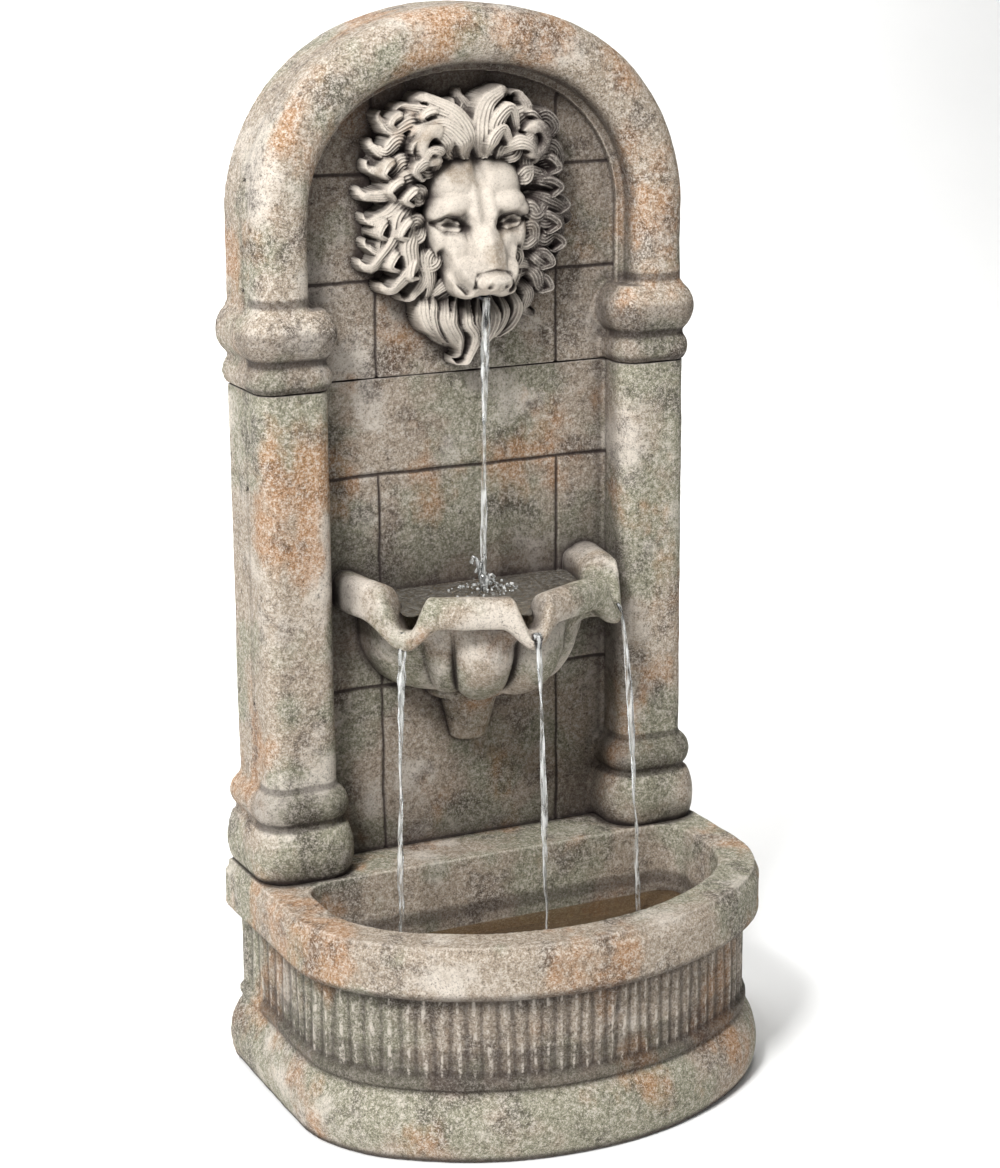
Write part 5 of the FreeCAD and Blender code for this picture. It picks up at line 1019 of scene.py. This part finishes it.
class FOUNTAIN_OT_falling_water(bpy.types.Operator):
    """Model the jet, the three spills and the splash"""
    bl_idname = "fountain.falling_water"
    bl_label = "Falling water"

    def execute(self, context):
        sizes = context.scene.fountain_sizes
        water = running_water("falling_water", linear("#fbfdfd"), foam=0.55)
        top, foot = Vector((*JET_TOP, SPOUT_Z - 0.003)), Vector((*JET_FOOT, sizes.bowl_level - SUNK))
        self.stream("lion_jet", top, foot, sizes.jet_width, 5, water)
        for k, (start, end) in enumerate(SPILLS, 1):
            foot = Vector((*end, sizes.pool_level - SUNK))
            self.stream("bowl_spill_%d" % k, Vector(start), foot, sizes.spill_width, 20 + k, water)
        self.splash(Vector((*JET_FOOT, sizes.bowl_level)), water)
        return {"FINISHED"}

    def stream(self, name, top, foot, width, seed, water):
        """A falling stream that narrows, twists and thickens in beads."""
        bm = bmesh.new()
        steps, sides = 110, 10
        rings = []
        for k in range(steps + 1):
            share = k / steps
            along = top + Vector(((foot.x - top.x) * math.sqrt(share), (foot.y - top.y) * math.sqrt(share),
                                  (foot.z - top.z) * share))
            along += Vector((0.0022 * noise.noise(Vector((seed, share * 9, 0))),
                             0.0015 * noise.noise(Vector((seed, 7, share * 8))), 0)) * share
            beads = 1 + 0.38 * noise.noise(Vector((seed, 3, share * 26)))
            spread = width / 2 * (1.0 - 0.32 * share) * beads
            flat = 0.45 + 0.25 * noise.noise(Vector((seed, 5, share * 13)))
            twist = 5.0 * share + seed
            ring = []
            for j in range(sides):
                turn = 2 * math.pi * j / sides
                a, b = spread * math.cos(turn), spread * flat * math.sin(turn)
                ring.append(bm.verts.new(along + Vector((a * math.cos(twist) - b * math.sin(twist),
                                                         a * math.sin(twist) + b * math.cos(twist), 0))))
            rings.append(ring)
        bridge(bm, rings)
        finish_mesh(name, bm, water)

    def splash(self, centre, water):
        """Fingers and drops thrown up where the jet lands."""
        bm = bmesh.new()
        chance = random.Random(4)
        fingers, drops = 14, 90
        for k in range(fingers):
            turn = 2 * math.pi * k / fingers + chance.uniform(-0.3, 0.3)
            out = Vector((math.cos(turn), math.sin(turn) * 0.8, 0))
            reach, rise = chance.uniform(6, 15), chance.uniform(9, 22) * (1.7 if out.x < 0 else 0.8)
            spots = [(centre / MM + out * reach * share + Vector((0, 0, rise * math.sin(share * 2.2))))
                     for share in (0.0, 0.25, 0.5, 0.75, 1.0)]
            tube(bm, spots, [3.2, 2.4, 1.7, 1.2, 1.7], 6)
        for _ in range(drops):
            turn, reach = chance.uniform(0, 2 * math.pi), chance.uniform(5, 44) ** 0.96
            spot = centre / MM + Vector((math.cos(turn) * reach, math.sin(turn) * reach * 0.7,
                                         chance.uniform(0.3, 22) * max(0.0, 1 - reach / 30) + 0.4))
            size = chance.uniform(0.6, 1.7)
            ball(bm, spot, (size, size, size), detail=2)
        finish_mesh("jet_splash", bm, water)


# Fittings

class FOUNTAIN_OT_fittings(bpy.types.Operator):
    """Give pump, door, hose and fastenings their finishes"""
    bl_idname = "fountain.fittings"
    bl_label = "Pump, door and fastenings"

    def execute(self, context):
        for material, nodes in (
                (moulded_plastic("moulded_abs_black", "#26272a", 0.42),
                 ("pump_body", "volute_cover", "intake_cap", "flow_knob", "cable_gland", "intake_grille",
                  "left_fastener", "right_fastener")),
                (moulded_plastic("moulded_abs_impeller", "#3b3c40", 0.5),
                 ("impeller", "outlet_barb", "jet_nozzle")),
                (moulded_plastic("moulded_pp_door", "#6d6858", 0.6, 1.2), ("access_door",)),
                (moulded_plastic("moulded_rubber", "#1d1c1b", 0.75),
                 ("drain_plug", "cable_grommet", "shaft_bushes", "suction_feet")),
                (moulded_plastic("cut_foam", "#2a2a2d", 0.95, 2.5), ("filter_sponge", "door_seal")),
                (moulded_plastic("extruded_pvc_hose", "#9fa8a4", 0.3), ("riser_hose",)),
                (moulded_plastic("turned_nylon_dowel", "#cfccc2", 0.45), ("seam_dowels", "deck_dowels")),
                (moulded_plastic("sintered_ferrite", "#35343a", 0.5), ("rotor_magnet",)),
                (moulded_plastic("polished_alumina", "#e4e1d6", 0.15), ("rotor_shaft",)),
                (plated_metal("zinc_plated_steel", "#b9bbb8", 0.38),
                 ("joint_straps", "strap_screws", "mask_studs", "bowl_studs", "stud_washers", "stud_nuts",
                  "hose_clamps")),
                (plated_metal("turned_brass", "#b08d4a", 0.35), ("wall_inserts",))):
            for node in nodes:
                dress(node, material)
        return {"FINISHED"}


# Stage

# Found from the photograph's straight joints and round rim: place in metres, turns in degrees, and the
# focal length in pixels of its 1168 rows
CAMERA_PLACE = (-1.0164, -2.0981, 1.0949)
CAMERA_TURNS = (25.35, 14.67, 0.4)
CAMERA_FOCUS, PHOTO_ROWS = 2670, 1168


class FOUNTAIN_OT_stage(bpy.types.Operator):
    """Pale floor, soft light and the camera"""
    bl_idname = "fountain.stage"
    bl_label = "Stage"

    def execute(self, context):
        self.floor()
        self.lights(context)
        self.camera(context)
        return {"FINISHED"}

    def floor(self):
        """Painted floor that curves up into a backdrop."""
        material, tree, place = new_material("pale_floor")
        cloud = add(tree, "TexNoise", {"Vector": place, "Scale": 3.0})
        tone = add(tree, "Mix", {0: cloud, 6: linear("#fbfbfa"), 7: linear("#f6f6f5")}, data_type="RGBA")
        shader = add(tree, "BsdfPrincipled", {"Base Color": tone, "Roughness": 0.9})
        add(tree, "OutputMaterial", {"Surface": shader})
        bm = bmesh.new()
        rise, reach, start, radius = 5.0, 9.0, 2.6, 1.6
        rows = [(-reach, 0.0), (start, 0.0)]
        for k in range(1, 9):
            turn = k * math.pi / 16
            rows.append((start + radius * math.sin(turn), radius - radius * math.cos(turn)))
        rows.append((start + radius, rise))
        verts = [[bm.verts.new((x, y, z - 0.0005)) for x in (-reach, reach)] for y, z in rows]
        for a, b in zip(verts, verts[1:]):
            bm.faces.new((a[0], a[1], b[1], b[0]))
        new_piece("floor", bm, material)

    def lights(self, context):
        """White world, three soft lamps on the fountain and one on the backdrop."""
        world = bpy.data.worlds.new("studio")
        world.use_nodes = True
        background = world.node_tree.nodes["Background"].inputs
        background["Color"].default_value = linear("#ffffff")
        background["Strength"].default_value = 0.15
        context.scene.world = world
        context.scene.view_settings.view_transform = "Standard"
        middle = (0, 0, 0.5)
        for name, spot, aim, size, power in (
            ("key", (-2.1, -1.8, 3.2), middle, 0.8, 182.0),
            ("front", (-0.9, -3.4, 1.2), middle, 1.6, 12.0),
            ("crown", (-0.3, -0.7, 3.0), middle, 1.0, 26.0),
            ("backdrop", (0.0, 1.3, 2.9), (0, 4.2, 1.2), 2.0, 170.0),
        ):
            data = bpy.data.lights.new(name, "AREA")
            data.size = size
            data.energy = power
            lamp = bpy.data.objects.new(name, data)
            lamp.location = spot
            lamp.rotation_euler = (Vector(aim) - Vector(spot)).to_track_quat("-Z", "Y").to_euler()
            context.scene.collection.objects.link(lamp)

    def camera(self, context):
        """Camera where the photograph was taken from."""
        yaw, pitch, roll = (math.radians(turn) for turn in CAMERA_TURNS)
        forward = Vector((math.sin(yaw) * math.cos(pitch), math.cos(yaw) * math.cos(pitch), -math.sin(pitch)))
        level = Vector((math.cos(yaw), -math.sin(yaw), 0.0))
        down = forward.cross(level)
        right = level * math.cos(roll) + down * math.sin(roll)
        up = level * math.sin(roll) - down * math.cos(roll)
        data = bpy.data.cameras.new("photo_view")
        data.sensor_fit = "VERTICAL"
        data.sensor_height = 36.0
        data.lens = data.sensor_height * CAMERA_FOCUS / PHOTO_ROWS
        camera = bpy.data.objects.new("photo_view", data)
        matrix = Matrix((right, up, -forward)).transposed().to_4x4()
        matrix.translation = Vector(CAMERA_PLACE)
        camera.matrix_world = matrix
        context.scene.collection.objects.link(camera)
        context.scene.camera = camera


OPERATORS = (
    FOUNTAIN_OT_castings,
    FOUNTAIN_OT_lion_head,
    FOUNTAIN_OT_petal_bowl,
    FOUNTAIN_OT_still_water,
    FOUNTAIN_OT_falling_water,
    FOUNTAIN_OT_fittings,
    FOUNTAIN_OT_stage,
)


class FOUNTAIN_PT_panel(bpy.types.Panel):
    """Lists the fountain's steps"""
    bl_idname = "FOUNTAIN_PT_panel"
    bl_label = "Garden wall fountain"
    bl_space_type = "VIEW_3D"
    bl_region_type = "UI"
    bl_category = "Fountain"

    def draw(self, context):
        for group in (context.scene.fountain_sizes, context.scene.fountain_colours):
            for key in group.bl_rna.properties.keys():
                if key not in ("rna_type", "name"):
                    self.layout.prop(group, key)
        for operator in OPERATORS:
            self.layout.operator(operator.bl_idname)


CLASSES = (FountainSizes, FountainColours, *OPERATORS, FOUNTAIN_PT_panel)


def register():
    for item in CLASSES:
        bpy.utils.register_class(item)
    bpy.types.Scene.fountain_sizes = bpy.props.PointerProperty(type=FountainSizes)
    bpy.types.Scene.fountain_colours = bpy.props.PointerProperty(type=FountainColours)


def unregister():
    del bpy.types.Scene.fountain_colours
    del bpy.types.Scene.fountain_sizes
    for item in reversed(CLASSES):
        bpy.utils.unregister_class(item)


def main():
    register()
    for operator in OPERATORS:
        group, name = operator.bl_idname.split(".")
        getattr(getattr(bpy.ops, group), name)()


if __name__ == "__main__":
    main()
